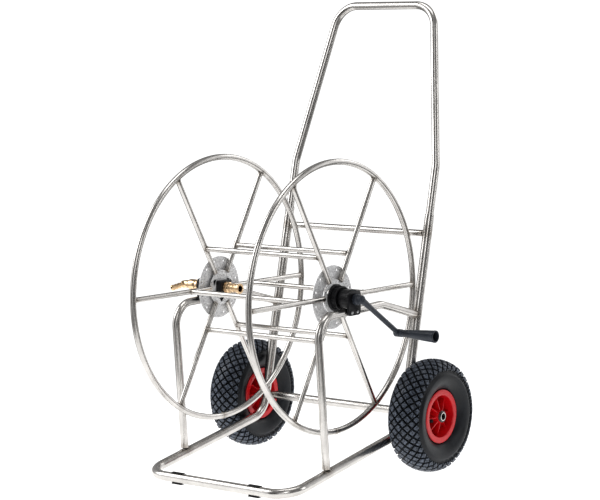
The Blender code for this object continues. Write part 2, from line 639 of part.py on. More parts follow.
def make_flange(reel, side, word):
    plane = side * FLANGE_X
    half_butt = RING_BUTT / RING_RADIUS / 2
    seam = -math.pi / 2                          # half way between two spokes
    sweep = math.tau - 2 * half_butt
    path = [on_circle(RING_RADIUS, seam + half_butt + sweep * k / RING_STEPS) for k in range(RING_STEPS + 1)]
    hollow_tube(f"{word}_flange_ring", path, RING_TUBE_RADIUS, RING_WALL, reel, (plane, 0, 0), SPOKE_STEPS)

    inside = (RING_RADIUS - RING_TUBE_RADIUS) * math.cos(math.pi / RING_STEPS) - GAP
    for k in range(SPOKES):
        angle = math.tau * k / SPOKES
        ends = [on_circle(PLATE_RADIUS + GAP, angle), on_circle(inside, angle)]
        name = f"{word}_spoke_{k + 1}"
        hollow_tube(name, ends, SPOKE_RADIUS, SPOKE_WALL, reel, (plane, 0, 0), SPOKE_STEPS)

    outlines = [circle(PLATE_RADIUS, DISC_STEPS), circle(SPIGOT_RADIUS + GAP, HUB_STEPS)]
    outlines += [window(math.tau * k / PLATE_WINDOWS - math.pi / 2) for k in range(PLATE_WINDOWS)]
    hub_plate = plate(outlines, PLATE_THICKNESS, -HALF_PLATE)
    add_piece(f"{word}_hub_plate", hub_plate, "disc_steel", reel, (plane, 0, 0))

    outlines = [circle(DISC_RADIUS, DISC_STEPS), circle(DISC_BORE_RADIUS, DISC_STEPS)]
    half_pitch = math.pi / DISC_HOLES
    for k in range(DISC_HOLES):
        centre = on_circle(DISC_HOLE_CIRCLE, math.tau * k / DISC_HOLES + half_pitch)
        outlines.append(circle(DISC_HOLE_RADIUS, DISC_HOLE_STEPS, centre.y, centre.z))
    disc = plate(outlines, DISC_THICKNESS, -DISC_INNER - DISC_THICKNESS)
    add_piece(f"{word}_flange_disc", disc, "disc_steel", reel, (plane, 0, 0))


def make_drum_bars(reel):
    half = FLANGE_X - SPOKE_RADIUS - GAP
    for k in range(SPOKES):
        place = on_circle(BAR_CIRCLE, math.tau * k / SPOKES)
        ends = [(-half, 0, 0), (half, 0, 0)]
        hollow_tube(f"drum_bar_{k + 1}", ends, SPOKE_RADIUS, SPOKE_WALL, reel, place, SPOKE_STEPS)


def make_right_hub(reel):
    """The hub on the crank's side: a spigot in the plate, the flange, the ribbed barrel,
    the journal and the crank's seat in one."""
    inner = FLANGE_X - HALF_PLATE
    start = FLANGE_X + HALF_PLATE + GAP
    flange_end = start + HUB_FLANGE
    step_end = flange_end + HUB_STEP
    barrel_end = BARREL_INNER_X - HUB_TO_HOUSING
    crank_end = BEARING_OUT + CRANK_END_LENGTH
    profile = [(inner - RIGHT_SPIGOT_LENGTH, 0), (inner - RIGHT_SPIGOT_LENGTH, SPIGOT_RADIUS),
               (start, SPIGOT_RADIUS), (start, RIGHT_HUB_FLANGE_RADIUS),
               (flange_end, RIGHT_HUB_FLANGE_RADIUS),
               (flange_end, HUB_STEP_RADIUS), (step_end, HUB_STEP_RADIUS), (step_end, HUB_BARREL_RADIUS),
               (barrel_end, HUB_BARREL_RADIUS), (barrel_end, JOURNAL_RADIUS), (BEARING_OUT, JOURNAL_RADIUS),
               (BEARING_OUT, CRANK_END_RADIUS), (crank_end, CRANK_END_RADIUS), (crank_end, 0)]
    add_piece("right_hub", turned(profile, HUB_STEPS), "black_plastic", reel)


def make_left_hub(reel):
    """The hollow hub on the inlet's side: a spigot through the plate, the flange, the
    journal and the threaded nose. Returns where the nose ends."""
    block_start = -FLANGE_X + HALF_PLATE + GAP
    spigot_end = block_start + BLOCK_LENGTH - OUTLET_SCREW_IN - GAP
    start = -FLANGE_X - HALF_PLATE - GAP
    flange_end = start - HUB_FLANGE
    barrel_end = -BARREL_INNER_X + HUB_TO_HOUSING
    journal_end = -BEARING_OUT - HUB_TO_HOUSING
    nose_end = journal_end - NOSE_LENGTH
    profile = [(spigot_end, WATER_RADIUS), (spigot_end, SPIGOT_RADIUS), (start, SPIGOT_RADIUS),
               (start, LEFT_HUB_FLANGE_RADIUS), (flange_end, LEFT_HUB_FLANGE_RADIUS),
               (flange_end, HUB_BARREL_RADIUS), (barrel_end, HUB_BARREL_RADIUS), (barrel_end, JOURNAL_RADIUS),
               (journal_end, JOURNAL_RADIUS), (journal_end, NOSE_RADIUS), (nose_end, NOSE_RADIUS),
               (nose_end, NOSE_BORE_RADIUS), (journal_end, NOSE_BORE_RADIUS), (journal_end, WATER_RADIUS)]
    add_piece("left_hub", turned(profile, HUB_STEPS), "black_plastic", reel)
    make_outlet(reel, block_start)
    return nose_end


def make_outlet(reel, block_start):
    """The block on the left hub's spigot, and the brass connector screwed into it."""
    half_width, half_height = BLOCK_WIDTH / 2, BLOCK_HEIGHT / 2
    outline = rounded_box(-half_width, half_width, -half_height, half_height, BLOCK_CORNER)
    block = plate([outline, circle(SPIGOT_RADIUS + GAP, HUB_STEPS)], BLOCK_LENGTH, block_start)
    add_piece("outlet_block", block, "black_plastic", reel)

    block_end = block_start + BLOCK_LENGTH
    screw_in = block_end - OUTLET_SCREW_IN
    seat = block_end + GAP
    collar_end = seat + OUTLET_COLLAR_LENGTH
    end = seat + OUTLET_LENGTH
    thread = SPIGOT_RADIUS - GAP
    profile = [(screw_in, WATER_RADIUS), (screw_in, thread), (seat, thread), (seat, OUTLET_COLLAR_RADIUS),
               (collar_end, OUTLET_COLLAR_RADIUS), (collar_end, OUTLET_RADIUS), (end, OUTLET_RADIUS),
               (end, OUTLET_BORE_RADIUS), (collar_end, OUTLET_BORE_RADIUS), (collar_end, WATER_RADIUS)]
    add_piece("outlet_connector", turned(profile, HUB_STEPS), "brass", reel)


def make_inlet(cart, reel, nose_end):
    """The union nut on the hub's nose, which lets the brass elbow turn in it, and its seal."""
    thread_start = nose_end + NOSE_LENGTH - HUB_TO_HOUSING
    collar_end = nose_end - GAP - ELBOW_COLLAR
    lip = collar_end - GAP
    nut_end = lip - NUT_LIP
    profile = [(thread_start, NOSE_RADIUS + GAP), (thread_start, NUT_RADIUS), (nut_end, NUT_RADIUS),
               (nut_end, SWIVEL_NECK_RADIUS + GAP), (lip, SWIVEL_NECK_RADIUS + GAP), (lip, NOSE_RADIUS + GAP)]
    add_piece("inlet_union_nut", turned(profile, NUT_STEPS), "black_plastic", reel)

    seal_middle = nose_end + NOSE_LENGTH / 2
    seal_in = SWIVEL_RADIUS + GAP
    seal_out = NOSE_BORE_RADIUS - GAP
    seal = [(seal_middle - SEAL_WIDTH / 2, seal_in), (seal_middle - SEAL_WIDTH / 2, seal_out),
            (seal_middle + SEAL_WIDTH / 2, seal_out), (seal_middle + SEAL_WIDTH / 2, seal_in)]
    add_piece("inlet_seal", turned(seal, HUB_STEPS), "rubber", cart, AXIS)

    swivel_start = nose_end + NOSE_LENGTH - 3 * GAP
    body_start = nut_end - GAP
    body_end = body_start - ELBOW_BODY_LENGTH
    bend_x = body_end - ELBOW_BEND_RADIUS
    tail = Vector((-math.cos(ELBOW_BEND), -math.sin(ELBOW_BEND) * math.cos(ELBOW_TURN),
                   -math.sin(ELBOW_BEND) * math.sin(ELBOW_TURN)))
    bend = Vector((bend_x, 0, 0))
    tail_end = bend + tail * (ELBOW_BEND_RADIUS + TAIL_LENGTH)
    turn = rounded_path([(body_end, 0, 0), bend, tail_end], [ELBOW_BEND_RADIUS])[1:-1]
    steps = [(swivel_start, SWIVEL_RADIUS), (nose_end - GAP, SWIVEL_RADIUS),
             (nose_end - GAP, NOSE_RADIUS - GAP), (collar_end, NOSE_RADIUS - GAP),
             (collar_end, SWIVEL_NECK_RADIUS), (body_start, SWIVEL_NECK_RADIUS),
             (body_start, ELBOW_BODY_RADIUS), (body_end, ELBOW_BODY_RADIUS), (body_end, ELBOW_NECK_RADIUS)]
    core = ELBOW_NECK_RADIUS * ELBOW_CORE
    body = turned([(swivel_start, 0), *steps, (bend_x, core), (bend_x, 0)], BORE_STEPS)
    elbow = add_piece("inlet_elbow", body, "brass", cart, AXIS)

    pitch = TAIL_LENGTH / (TAIL_RIBS + 1)
    tail_start = turn[-1]
    points = [*turn, tail_start + tail * (pitch * TAIL_LEAD)]
    radii = [ELBOW_NECK_RADIUS] * len(turn) + [TAIL_RADIUS]
    for k in range(TAIL_RIBS):
        rib = tail_start + tail * (pitch * (k + 1))
        points += [rib, rib + tail * (pitch * RIB_ROOT)]
        radii += [TAIL_RADIUS * RIB_CREST, TAIL_RADIUS * RIB_ROOT]
    boolean(elbow, swept(points, radii, BORE_STEPS, True), "UNION", "tail")
    inside = [Vector((swivel_start + OVERCUT, 0, 0)), *turn, tail_end + tail * OVERCUT]
    boolean(elbow, swept(inside, TAIL_BORE_RADIUS, TUBE_STEPS, True), "DIFFERENCE", "water_way")


def make_bearings(cart):
    """Each housing is a barrel round the journal, which lies in a seat over the side tube,
    and an end plate that two screws fix to the tube's outer side."""
    half = END_PLATE_WIDTH / 2
    bore = JOURNAL_RADIUS + GAP
    from_axis = SCREW_PITCH / 2
    screws = [("front", -from_axis, screw_z(-from_axis)), ("rear", from_axis, screw_z(from_axis))]
    for side, word in SIDES.items():
        outline = rounded_box(-half, half, -END_PLATE_BELOW, END_PLATE_ABOVE, END_PLATE_CORNER)
        start = min(side * END_PLATE_X, side * BEARING_OUT)
        end_plate = plate([outline, circle(bore, HUB_STEPS)], END_PLATE, start)
        housing = add_piece(f"{word}_bearing_housing", end_plate, "black_plastic", cart, AXIS)
        barrel_out = side * (END_PLATE_X + END_PLATE / 2)
        barrel_bore = bore - LAP
        barrel = [(side * BARREL_INNER_X, barrel_bore), (side * BARREL_INNER_X, BARREL_RADIUS),
                  (barrel_out, BARREL_RADIUS), (barrel_out, barrel_bore)]
        boolean(housing, turned(barrel, HUB_STEPS), "UNION", "barrel")

        reach = half + OVERCUT
        seat = [(side * FRAME_X, y, screw_z(y) - DRUM_HEIGHT) for y in (-reach, reach)]
        trough = rod_between(seat[0], seat[1], around(SIDE_RADIUS + GAP, BORE_STEPS), BORE_STEPS)
        boolean(housing, clipped(trough, side * END_PLATE_X, -side), "DIFFERENCE", "tube_seat")
        past = side * OVERCUT
        holes = [rod_between((side * END_PLATE_X - past, y, z - DRUM_HEIGHT),
                             (side * BEARING_OUT + past, y, z - DRUM_HEIGHT), SCREW_RADIUS + GAP, SPOKE_STEPS)
                 for _, y, z in screws]
        boolean(housing, joined(holes), "DIFFERENCE", "screw_holes")

        head = side * (BEARING_OUT + GAP)
        tip = side * (FRAME_X - SIDE_RADIUS - SCREW_PAST)
        profile = [(head + side * SCREW_HEAD, 0), (head + side * SCREW_HEAD, SCREW_HEAD_RADIUS * SCREW_TOP),
                   (head + side * SCREW_HEAD / 2, SCREW_HEAD_RADIUS), (head, SCREW_HEAD_RADIUS),
                   (head, SCREW_RADIUS), (tip, SCREW_RADIUS), (tip, 0)]
        for place, y, z in screws:
            add_piece(f"{word}_bearing_screw_{place}", turned(profile, PIN_STEPS), "zinc", cart, (0, y, z))


def make_crank(reel):
    start = CRANK_HUB_X
    neck = start + CRANK_HUB_LENGTH
    end = neck + CRANK_NECK_LENGTH
    profile = [(start, 0), (start, CRANK_HUB_RADIUS), (neck, CRANK_HUB_RADIUS), (neck, CRANK_NECK_RADIUS),
               (end - ARM_RADIUS / 2, CRANK_NECK_RADIUS), (end, CRANK_DOME * CRANK_NECK_RADIUS), (end, 0)]
    crank = add_piece("crank_arm", turned(profile, HUB_STEPS), "grey_plastic", reel)
    eye = Vector((ARM_X, CRANK_Y, CRANK_Z))
    arm = rod_between((ARM_X, 0, 0), eye, ARM_RADIUS)
    boss_half = ARM_BOSS_LENGTH / 2
    half_boss = Vector((boss_half, 0, 0))
    boss = rod_between(eye - half_boss, eye + half_boss, ARM_BOSS_RADIUS, BORE_STEPS)
    boolean(crank, arm, "UNION", "arm")
    boolean(crank, boss, "UNION", "boss")
    seat_end = BEARING_OUT + CRANK_END_LENGTH + GAP
    seat_radius = around(CRANK_END_RADIUS + GAP, BORE_STEPS)
    seat = rod_between((start - OVERCUT, 0, 0), (seat_end, 0, 0), seat_radius, BORE_STEPS)
    past = Vector((boss_half + OVERCUT, 0, 0))
    pin_hole = rod_between(eye - past, eye + past, PIN_RADIUS + 2 * GAP)
    boolean(crank, joined([seat, pin_hole]), "DIFFERENCE", "bores")

    pin_start = ARM_X - boss_half - GAP
    mouth = GRIP_END_X - GRIP_MOUTH_DEPTH
    rivet = mouth + GAP
    pin = [(pin_start - PIN_HEAD, 0), (pin_start - PIN_HEAD, PIN_HEAD_RADIUS), (pin_start, PIN_HEAD_RADIUS),
           (pin_start, PIN_RADIUS), (rivet, PIN_RADIUS), (rivet, PIN_HEAD_RADIUS),
           (rivet + PIN_HEAD, PIN_HEAD_RADIUS), (rivet + PIN_HEAD, 0)]
    add_piece("grip_pin", turned(pin, PIN_STEPS), "zinc", reel, (0, CRANK_Y, CRANK_Z))

    bore = PIN_RADIUS + GAP
    grip = [(GRIP_X, bore), (GRIP_X, GRIP_START_RADIUS), (GRIP_END_X, GRIP_END_RADIUS),
            (GRIP_END_X, GRIP_MOUTH_RADIUS), (mouth, GRIP_MOUTH_RADIUS), (mouth, bore)]
    add_piece("crank_grip", turned(grip, NUT_STEPS), "grey_plastic", reel, (0, CRANK_Y, CRANK_Z))


def main():
    clear_scene()
    make_materials()
    cart = add_empty("cart", (-CENTRE_X, -CENTRE_Y, 0))
    reel = add_empty("reel", AXIS, cart)
    make_base_frame(cart)
    make_foot_clips(cart)
    make_side_tubes(cart)
    make_axle(cart)
    for side, word in SIDES.items():
        make_wheel(cart, side, word)
        make_flange(reel, side, word)
    make_handle(cart)
    make_drum_bars(reel)
    make_right_hub(reel)
    nose_end = make_left_hub(reel)
    make_inlet(cart, reel, nose_end)
    make_bearings(cart)
    make_crank(reel)


main()
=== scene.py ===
"""A garden hose reel cart in stainless tube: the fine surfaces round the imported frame.

Lengths are in metres. The cart's own axes have x = 0 half way between the drum's
flanges, y = 0 on the drum's axis and z = 0 on the floor; +x is the crank's side and
+y the handle's. Everything is made in those axes and then moved by ORIGIN.
"""
import json
import math

import bmesh
import bpy
from bpy.props import FloatProperty, FloatVectorProperty, IntProperty, PointerProperty
from bpy.types import Operator, Panel, PropertyGroup
from mathutils import Matrix, Vector


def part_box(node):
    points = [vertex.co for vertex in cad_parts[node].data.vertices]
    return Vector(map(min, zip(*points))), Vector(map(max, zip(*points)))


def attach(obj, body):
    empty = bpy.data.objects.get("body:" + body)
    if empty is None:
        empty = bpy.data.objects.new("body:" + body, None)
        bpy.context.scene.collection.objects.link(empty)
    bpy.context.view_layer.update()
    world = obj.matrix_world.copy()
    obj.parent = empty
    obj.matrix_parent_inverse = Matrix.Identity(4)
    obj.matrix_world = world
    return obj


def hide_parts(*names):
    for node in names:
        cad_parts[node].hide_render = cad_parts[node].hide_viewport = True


bl_info = {
    "name": "Garden Hose Reel Cart",
    "version": (1, 0, 0),
    "blender": (4, 5, 0),
    "location": "3D Viewport > Sidebar > Reel Cart",
    "description": "Builds a stainless hose reel cart with wheels, drum, crank and fittings",
    "category": "Add Mesh",
}

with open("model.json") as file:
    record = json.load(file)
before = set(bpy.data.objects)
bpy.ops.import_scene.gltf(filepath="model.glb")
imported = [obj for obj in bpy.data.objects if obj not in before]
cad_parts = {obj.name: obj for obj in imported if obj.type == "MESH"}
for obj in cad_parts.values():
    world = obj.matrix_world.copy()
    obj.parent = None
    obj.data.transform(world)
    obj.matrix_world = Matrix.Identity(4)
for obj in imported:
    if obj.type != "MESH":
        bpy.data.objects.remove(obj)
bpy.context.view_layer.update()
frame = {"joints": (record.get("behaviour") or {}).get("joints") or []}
JOINTS = {joint["name"]: joint for joint in frame["joints"]}
REEL = Vector(JOINTS["reel_spin"]["pos_m"])
WHEEL = Vector(JOINTS["right_wheel_spin"]["pos_m"])
GRIP = Vector(JOINTS["grip_spin"]["pos_m"])
LEAN = math.atan2(JOINTS["handle_pull"]["axis"][1], JOINTS["handle_pull"]["axis"][2])
ORIGIN = Vector((REEL.x, REEL.y, 0))
DRUM_HEIGHT = REEL.z
AXLE_Y, AXLE_Z = WHEEL.y - REEL.y, WHEEL.z
ALONG_LEGS = Vector((0, math.sin(LEAN), math.cos(LEAN)))

GAP = 0.0003                     # between pieces that touch
SIDES = {-1: "left", 1: "right"}
TUBE_SIDES = 28
ROD_SIDES = 24
TURNED_SIDES = 64
SOFT_EDGE = math.radians(32)
TUBE_SPACING = 0.006             # between a tube's rings along its straight runs
ROD_WALL = 0.001                 # of spokes and drum bars
FRAME_STAIN = 0.017              # reach of the heat stain round welds, by tube
SIDE_STAIN = 0.016
CROSS_STAIN = 0.014
RING_STAIN = 0.011
ROD_STAIN = 0.010
BEAD_SIDES = 10
BEAD_SPACING = 0.002
AXLE_BEAD_HALF = 0.008           # half the length of the beads beside the axle
AXLE_BEAD_OUT = 0.55             # how far out they lie, by the frame tube's radius
ACROSS = Vector((1, 0, 0))


def node_middle(node):
    low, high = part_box(node)
    return (low + high) / 2 - ORIGIN


def node_low(node):
    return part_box(node)[0] - ORIGIN


def node_high(node):
    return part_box(node)[1] - ORIGIN


SIDE_X = node_middle("right_side_tube").x
FLANGE_X = node_middle("right_flange_ring").x
WHEEL_X = node_middle("right_tyre").x
CLIP_X = node_middle("right_foot_clip").x
HANDLE_TOP = node_high("handle_tube").z
ON_AXIS = (0, 0, DRUM_HEIGHT)


def length(name, description, default):
    return FloatProperty(name=name, description=description, default=default, min=0.0,
                         unit="LENGTH", subtype="DISTANCE", precision=4)


def angle(name, description, degrees):
    return FloatProperty(name=name, description=description, default=math.radians(degrees),
                         unit="ROTATION", subtype="ANGLE")


def colour(name, description, default):
    return FloatVectorProperty(name=name, description=description, default=default, size=3,
                               min=0.0, max=1.0, subtype="COLOR")


class ReelCartFrameSizes(PropertyGroup):
    """Sizes of the tube frame, the handle and the foot clips."""

    frame_radius: length("Frame tube radius", "Outer radius of the base and upright tube", 0.011)
    frame_wall: length("Frame wall", "Wall of the frame's tubes", 0.0012)
    front_bar_y: FloatProperty(name="Front bar", description="Depth of the front bar's centre line",
                               default=-0.221, unit="LENGTH", subtype="DISTANCE")
    rail_rise: angle("Rail rise", "How steeply the rails rise to the rear", 10.3)
    corner_radius: length("Front corner radius", "Bend radius of the base's front corners", 0.055)
    rear_bend_radius: length("Rear bend radius", "Bend radius where rails turn into uprights", 0.060)
    upright_y: length("Upright depth", "Depth of the uprights at the height of the axle", 0.2107)
    joint_height: length("Joint height", "Height of the uprights' open ends", 0.583)
    cross_radius: length("Cross tube radius", "Outer radius of the rear cross tube", 0.0078)
    cross_height: length("Cross tube height", "Height of the rear cross tube", 0.540)
    side_radius: length("Side tube radius", "Outer radius of the tubes under the bearings", 0.009)
    side_foot_y: FloatProperty(name="Side tube foot", description="Depth of the side tubes' feet",
                               default=-0.0885, unit="LENGTH", subtype="DISTANCE")
    side_lean: angle("Side leg lean", "How far the side tubes' front legs lean forwards", 4.9)
    side_top: length("Side tube height", "Height of the side tubes under the drum's axis", 0.390)
    side_rise: angle("Side tube rise", "How steeply the top runs rise to the rear", 1.7)
    side_fall_y: length("Side tube fall", "Depth at which the side tubes turn down", 0.118)
    side_fall: angle("Side tube slope", "How steeply the side tubes fall to the uprights", 15.1)
    side_bend_radius: length("Side bend radius", "Bend radius of the side tubes", 0.050)
    handle_radius: length("Handle radius", "Outer radius of the handle's tube", 0.0095)
    plug_radius: length("Plug radius", "Radius of the handle's ends inside the uprights", 0.0089)
    plug_length: length("Plug length", "How far the handle reaches into the uprights", 0.080)
    knee_height: length("Knee height", "Height of the handle's knees", 0.697)
    knee_radius: length("Knee radius", "Bend radius of the handle's knees", 0.070)
    grip_corner_radius: length("Grip corner radius", "Bend radius beside the grip bar", 0.060)
    handle_lean: angle("Handle lean", "How far the handle leans back above its knees", 13.8)
    handle_top_x: length("Grip half width", "Half of the width between the legs at the grip", 0.1375)
    clip_wall: length("Clip wall", "Wall of the foot clips", 0.002)
    clip_length: length("Clip length", "Length of the foot clips", 0.030)
    weld_radius: length("Weld bead radius", "Radius of the weld beads", 0.0013)


class ReelCartWheelSizes(PropertyGroup):
    """Sizes of the wheels and the axle."""

    tyre_radius: length("Tyre radius", "Outer radius of the tyres", 0.130)
    tyre_width: length("Tyre width", "Width of the tyres at their widest", 0.085)
    tread_depth: length("Tread depth", "Depth of the grooves between tread blocks", 0.0042)
    tread_rows: length("Tread row pitch", "Distance between tread rows across the tyre", 0.0225)
    tread_count: IntProperty(name="Tread blocks", description="Blocks round each row of tread",
                             default=38, min=8)
    rim_radius: length("Rim radius", "Outer radius of the rims' flanges", 0.062)
    rim_seat_radius: length("Rim seat radius", "Radius on which the tyre sits", 0.050)
    rim_width: length("Rim width", "Width of the rims", 0.061)
    rim_wall: length("Rim wall", "Wall of the rims", 0.003)
    rim_hub_radius: length("Rim hub radius", "Outer radius of the rims' hubs", 0.0155)
    rib_count: IntProperty(name="Rim ribs", description="Ribs in each rim", default=8, min=3)
    rib_angle: angle("First rib", "Turn of the first rib from straight back", 4.0)
    rib_thickness: length("Rib thickness", "Thickness of the rims' ribs", 0.0026)
    valve_angle: angle("Valve turn", "Turn of the valve round the wheel, from straight back", 193.0)
    valve_radius: length("Valve radius", "Radius of the valve stems", 0.004)
    axle_radius: length("Axle radius", "Outer radius of the wheel axle", 0.010)
    axle_bore: length("Axle bore", "Inner radius of the wheel axle", 0.0078)


class ReelCartDrumSizes(PropertyGroup):
    """Sizes of the drum and its flanges."""

    ring_radius: length("Ring radius", "Radius of the flange rings' centre line", 0.302)
    ring_tube: length("Ring tube radius", "Radius of the tube of the flange rings", 0.007)
    spoke_radius: length("Spoke radius", "Radius of spokes and drum bars", 0.006)
    spoke_count: IntProperty(name="Spokes", description="Spokes in each flange", default=6, min=3)
    bar_circle: length("Bar circle", "Radius on which the drum bars lie", 0.108)
    disc_radius: length("Disc radius", "Radius of the perforated discs", 0.0715)
    disc_thickness: length("Disc thickness", "Thickness of the perforated discs", 0.002)
    disc_bore: length("Disc bore", "Radius of the discs' centre holes", 0.0358)
    disc_holes: IntProperty(name="Disc holes", description="Small holes in each disc", default=12)
    hole_circle: length("Hole circle", "Radius on which the small holes lie", 0.062)
    hole_radius: length("Hole radius", "Radius of the small holes", 0.0025)
    plate_radius: length("Hub plate radius", "Radius of the hub plates", 0.040)
    plate_thickness: length("Hub plate thickness", "Thickness of the hub plates", 0.003)
    window_in: length("Window base", "Distance of the windows' straight side from the axis", 0.0243)
    window_out: length("Window tip", "Distance of the windows' tip from the axis", 0.0353)
    window_width: length("Window width", "Width of the windows' straight side", 0.019)


class ReelCartHubSizes(PropertyGroup):
    """Sizes of the hubs, bearings, crank and water fittings."""

    flange_radius: length("Hub flange radius", "Radius of the right hub's flange", 0.0305)
    left_flange_radius: length("Left hub flange", "Radius of the left hub's flange", 0.0354)
    ribbed_radius: length("Ribbed ring radius", "Outer radius of the hubs' ribbed rings", 0.027)
    journal_radius: length("Journal radius", "Radius of the hubs in their bearings", 0.012)
    barrel_radius: length("Bearing barrel radius", "Outer radius of the bearing housings", 0.02125)
    barrel_inner_x: length("Barrel end", "Where the housings end towards the drum", 0.188)
    plate_width: length("End plate width", "Width of the bearings' end plates", 0.046)
    plate_above: length("End plate top", "Height of the end plates above the axis", 0.018)
    plate_below: length("End plate foot", "Depth of the end plates below the axis", 0.036)
    plate_corner: length("End plate corner", "Corner radius of the end plates", 0.008)
    end_plate: length("End plate", "Thickness of the bearings' end plates", 0.005)
    screw_pitch: length("Screw pitch", "Distance between a bearing's two screws", 0.020)
    screw_head: length("Screw head radius", "Radius of the bearings' screw heads", 0.0036)
    crank_hub: length("Crank hub radius", "Radius of the crank's hub", 0.0125)
    crank_neck: length("Crank neck radius", "Radius of the crank's neck", 0.0105)
    arm_radius: length("Crank arm radius", "Radius of the crank's arm", 0.0062)
    boss_radius: length("Crank boss radius", "Radius of the boss at the arm's end", 0.009)
    grip_start: length("Grip radius at arm", "Radius of the grip beside the arm", 0.009)
    grip_end: length("Grip radius at end", "Radius of the grip at its open end", 0.014)
    nut_radius: length("Union nut radius", "Radius of the inlet's union nut", 0.0148)
    elbow_body: length("Elbow body radius", "Radius of the brass elbow's body", 0.0125)
    elbow_neck: length("Elbow neck radius", "Radius of the elbow's bend", 0.009)
    tail_radius: length("Tail radius", "Radius of the hose tail", 0.0068)
    tail_bore: length("Tail bore", "Radius of the hose tail's bore", 0.0042)
    tail_length: length("Tail length", "Length of the hose tail", 0.030)
    elbow_bend: angle("Elbow bend", "Bend of the brass elbow", 45.0)
    elbow_turn: angle("Elbow turn", "Turn of the tail down from straight ahead", 25.0)
    block_width: length("Outlet block width", "Width of the block inside the drum", 0.042)
    block_height: length("Outlet block height", "Height of the block inside the drum", 0.034)
    outlet_collar: length("Outlet collar radius", "Radius of the outlet's grooved collar", 0.013)
    outlet_radius: length("Outlet radius", "Radius of the outlet's body", 0.0105)
    outlet_bore: length("Outlet bore", "Radius of the outlet's bore", 0.0075)


class ReelCartColours(PropertyGroup):
    """Colours of the finishes and the studio."""

    steel: colour("Stainless steel", "Drawn stainless tube", (0.68, 0.66, 0.635))
    sheet: colour("Stainless sheet", "Matt stainless sheet", (0.93, 0.93, 0.94))
    weld: colour("Weld", "Heat-stained metal beside welds", (0.20, 0.165, 0.13))
    zinc: colour("Zinc", "Plated screws, rings and pins", (0.50, 0.51, 0.52))
    dark_steel: colour("Dark steel", "Blackened lock rings", (0.10, 0.10, 0.10))
    black_plastic: colour("Black plastic", "Hubs, bearings and nut", (0.010, 0.010, 0.012))
    grey_plastic: colour("Grey plastic", "Crank and grip", (0.036, 0.042, 0.054))
    brass: colour("Brass", "Inlet and outlet", (0.90, 0.66, 0.42))
    tyre: colour("Tyre", "Tyre rubber", (0.0085, 0.010, 0.0128))
    rim: colour("Rim", "Red wheel rims", (0.62, 0.006, 0.013))
    rubber: colour("Rubber", "Clips, valves and seal", (0.010, 0.010, 0.011))
    floor: colour("Floor", "Studio floor", (0.55, 0.55, 0.55))


# Paths and meshes

def rounded_path(corners, radii, step=math.radians(3)):
    """Points along straight runs between corners, with an arc of the given radius at each inner corner."""
    corners = [Vector(corner) for corner in corners]
    points = [corners[0]]
    for before, corner, after, radius in zip(corners, corners[1:], corners[2:], radii):
        u = (before - corner).normalized()
        v = (after - corner).normalized()
        turn = math.pi - u.angle(v)
        centre = corner + (u + v).normalized() * radius / math.cos(turn / 2)
        first = corner + u * radius * math.tan(turn / 2) - centre
        axis = u.cross(v).normalized()
        count = max(2, math.ceil(turn / step))
        points += [centre + Matrix.Rotation(-turn * k / count, 3, axis) @ first for k in range(count + 1)]
    points.append(corners[-1])
    return points


def resampled(points, spacing=TUBE_SPACING):
    """The same path with extra points along its straight runs."""
    dense = [points[0]]
    for start, end in zip(points, points[1:]):
        count = max(1, math.ceil((end - start).length / spacing))
        dense += [start.lerp(end, k / count) for k in range(1, count + 1)]
    return dense


def filleted(profile, radius, closed, steps=3):
    """A profile of (x, r) with its corners rounded, as far as its shortest sides allow."""
    count = len(profile)
    points = [Vector(point) for point in profile]
    rounded = []
    for k, point in enumerate(points):
        if not closed and k in (0, count - 1):
            rounded.append(tuple(point))
            continue
        before, after = points[k - 1] - point, points[(k + 1) % count] - point
        if before.length < 1e-6 or after.length < 1e-6:
            rounded.append(tuple(point))
            continue
        reach = min(radius, before.length * 0.45, after.length * 0.45)
        start, end = point + before.normalized() * reach, point + after.normalized() * reach
        for j in range(steps + 1):
            t = j / steps
            rounded.append(tuple(start * (1 - t) ** 2 + point * (2 * t * (1 - t)) + end * t ** 2))
    return rounded


def moving_frames(points, closed=False):
    """A normal and a binormal at each point of a path. On an open path they don't twist, and on a
    closed one the normals point away from its middle."""
    count = len(points)
    frames = []
    middle = sum(points, Vector()) / count
    normal = None
    for k, point in enumerate(points):
        before = points[k - 1] if closed or k > 0 else point
        after = points[(k + 1) % count] if closed or k < count - 1 else point
        tangent = (after - before).normalized()
        if closed:
            normal = point - middle
        elif normal is None:
            normal = Vector((0, 0, 1)) if abs(tangent.z) < 0.9 else Vector((0, 1, 0))
        normal = (normal - tangent * normal.dot(tangent)).normalized()
        frames.append((normal.copy(), tangent.cross(normal)))
    return frames


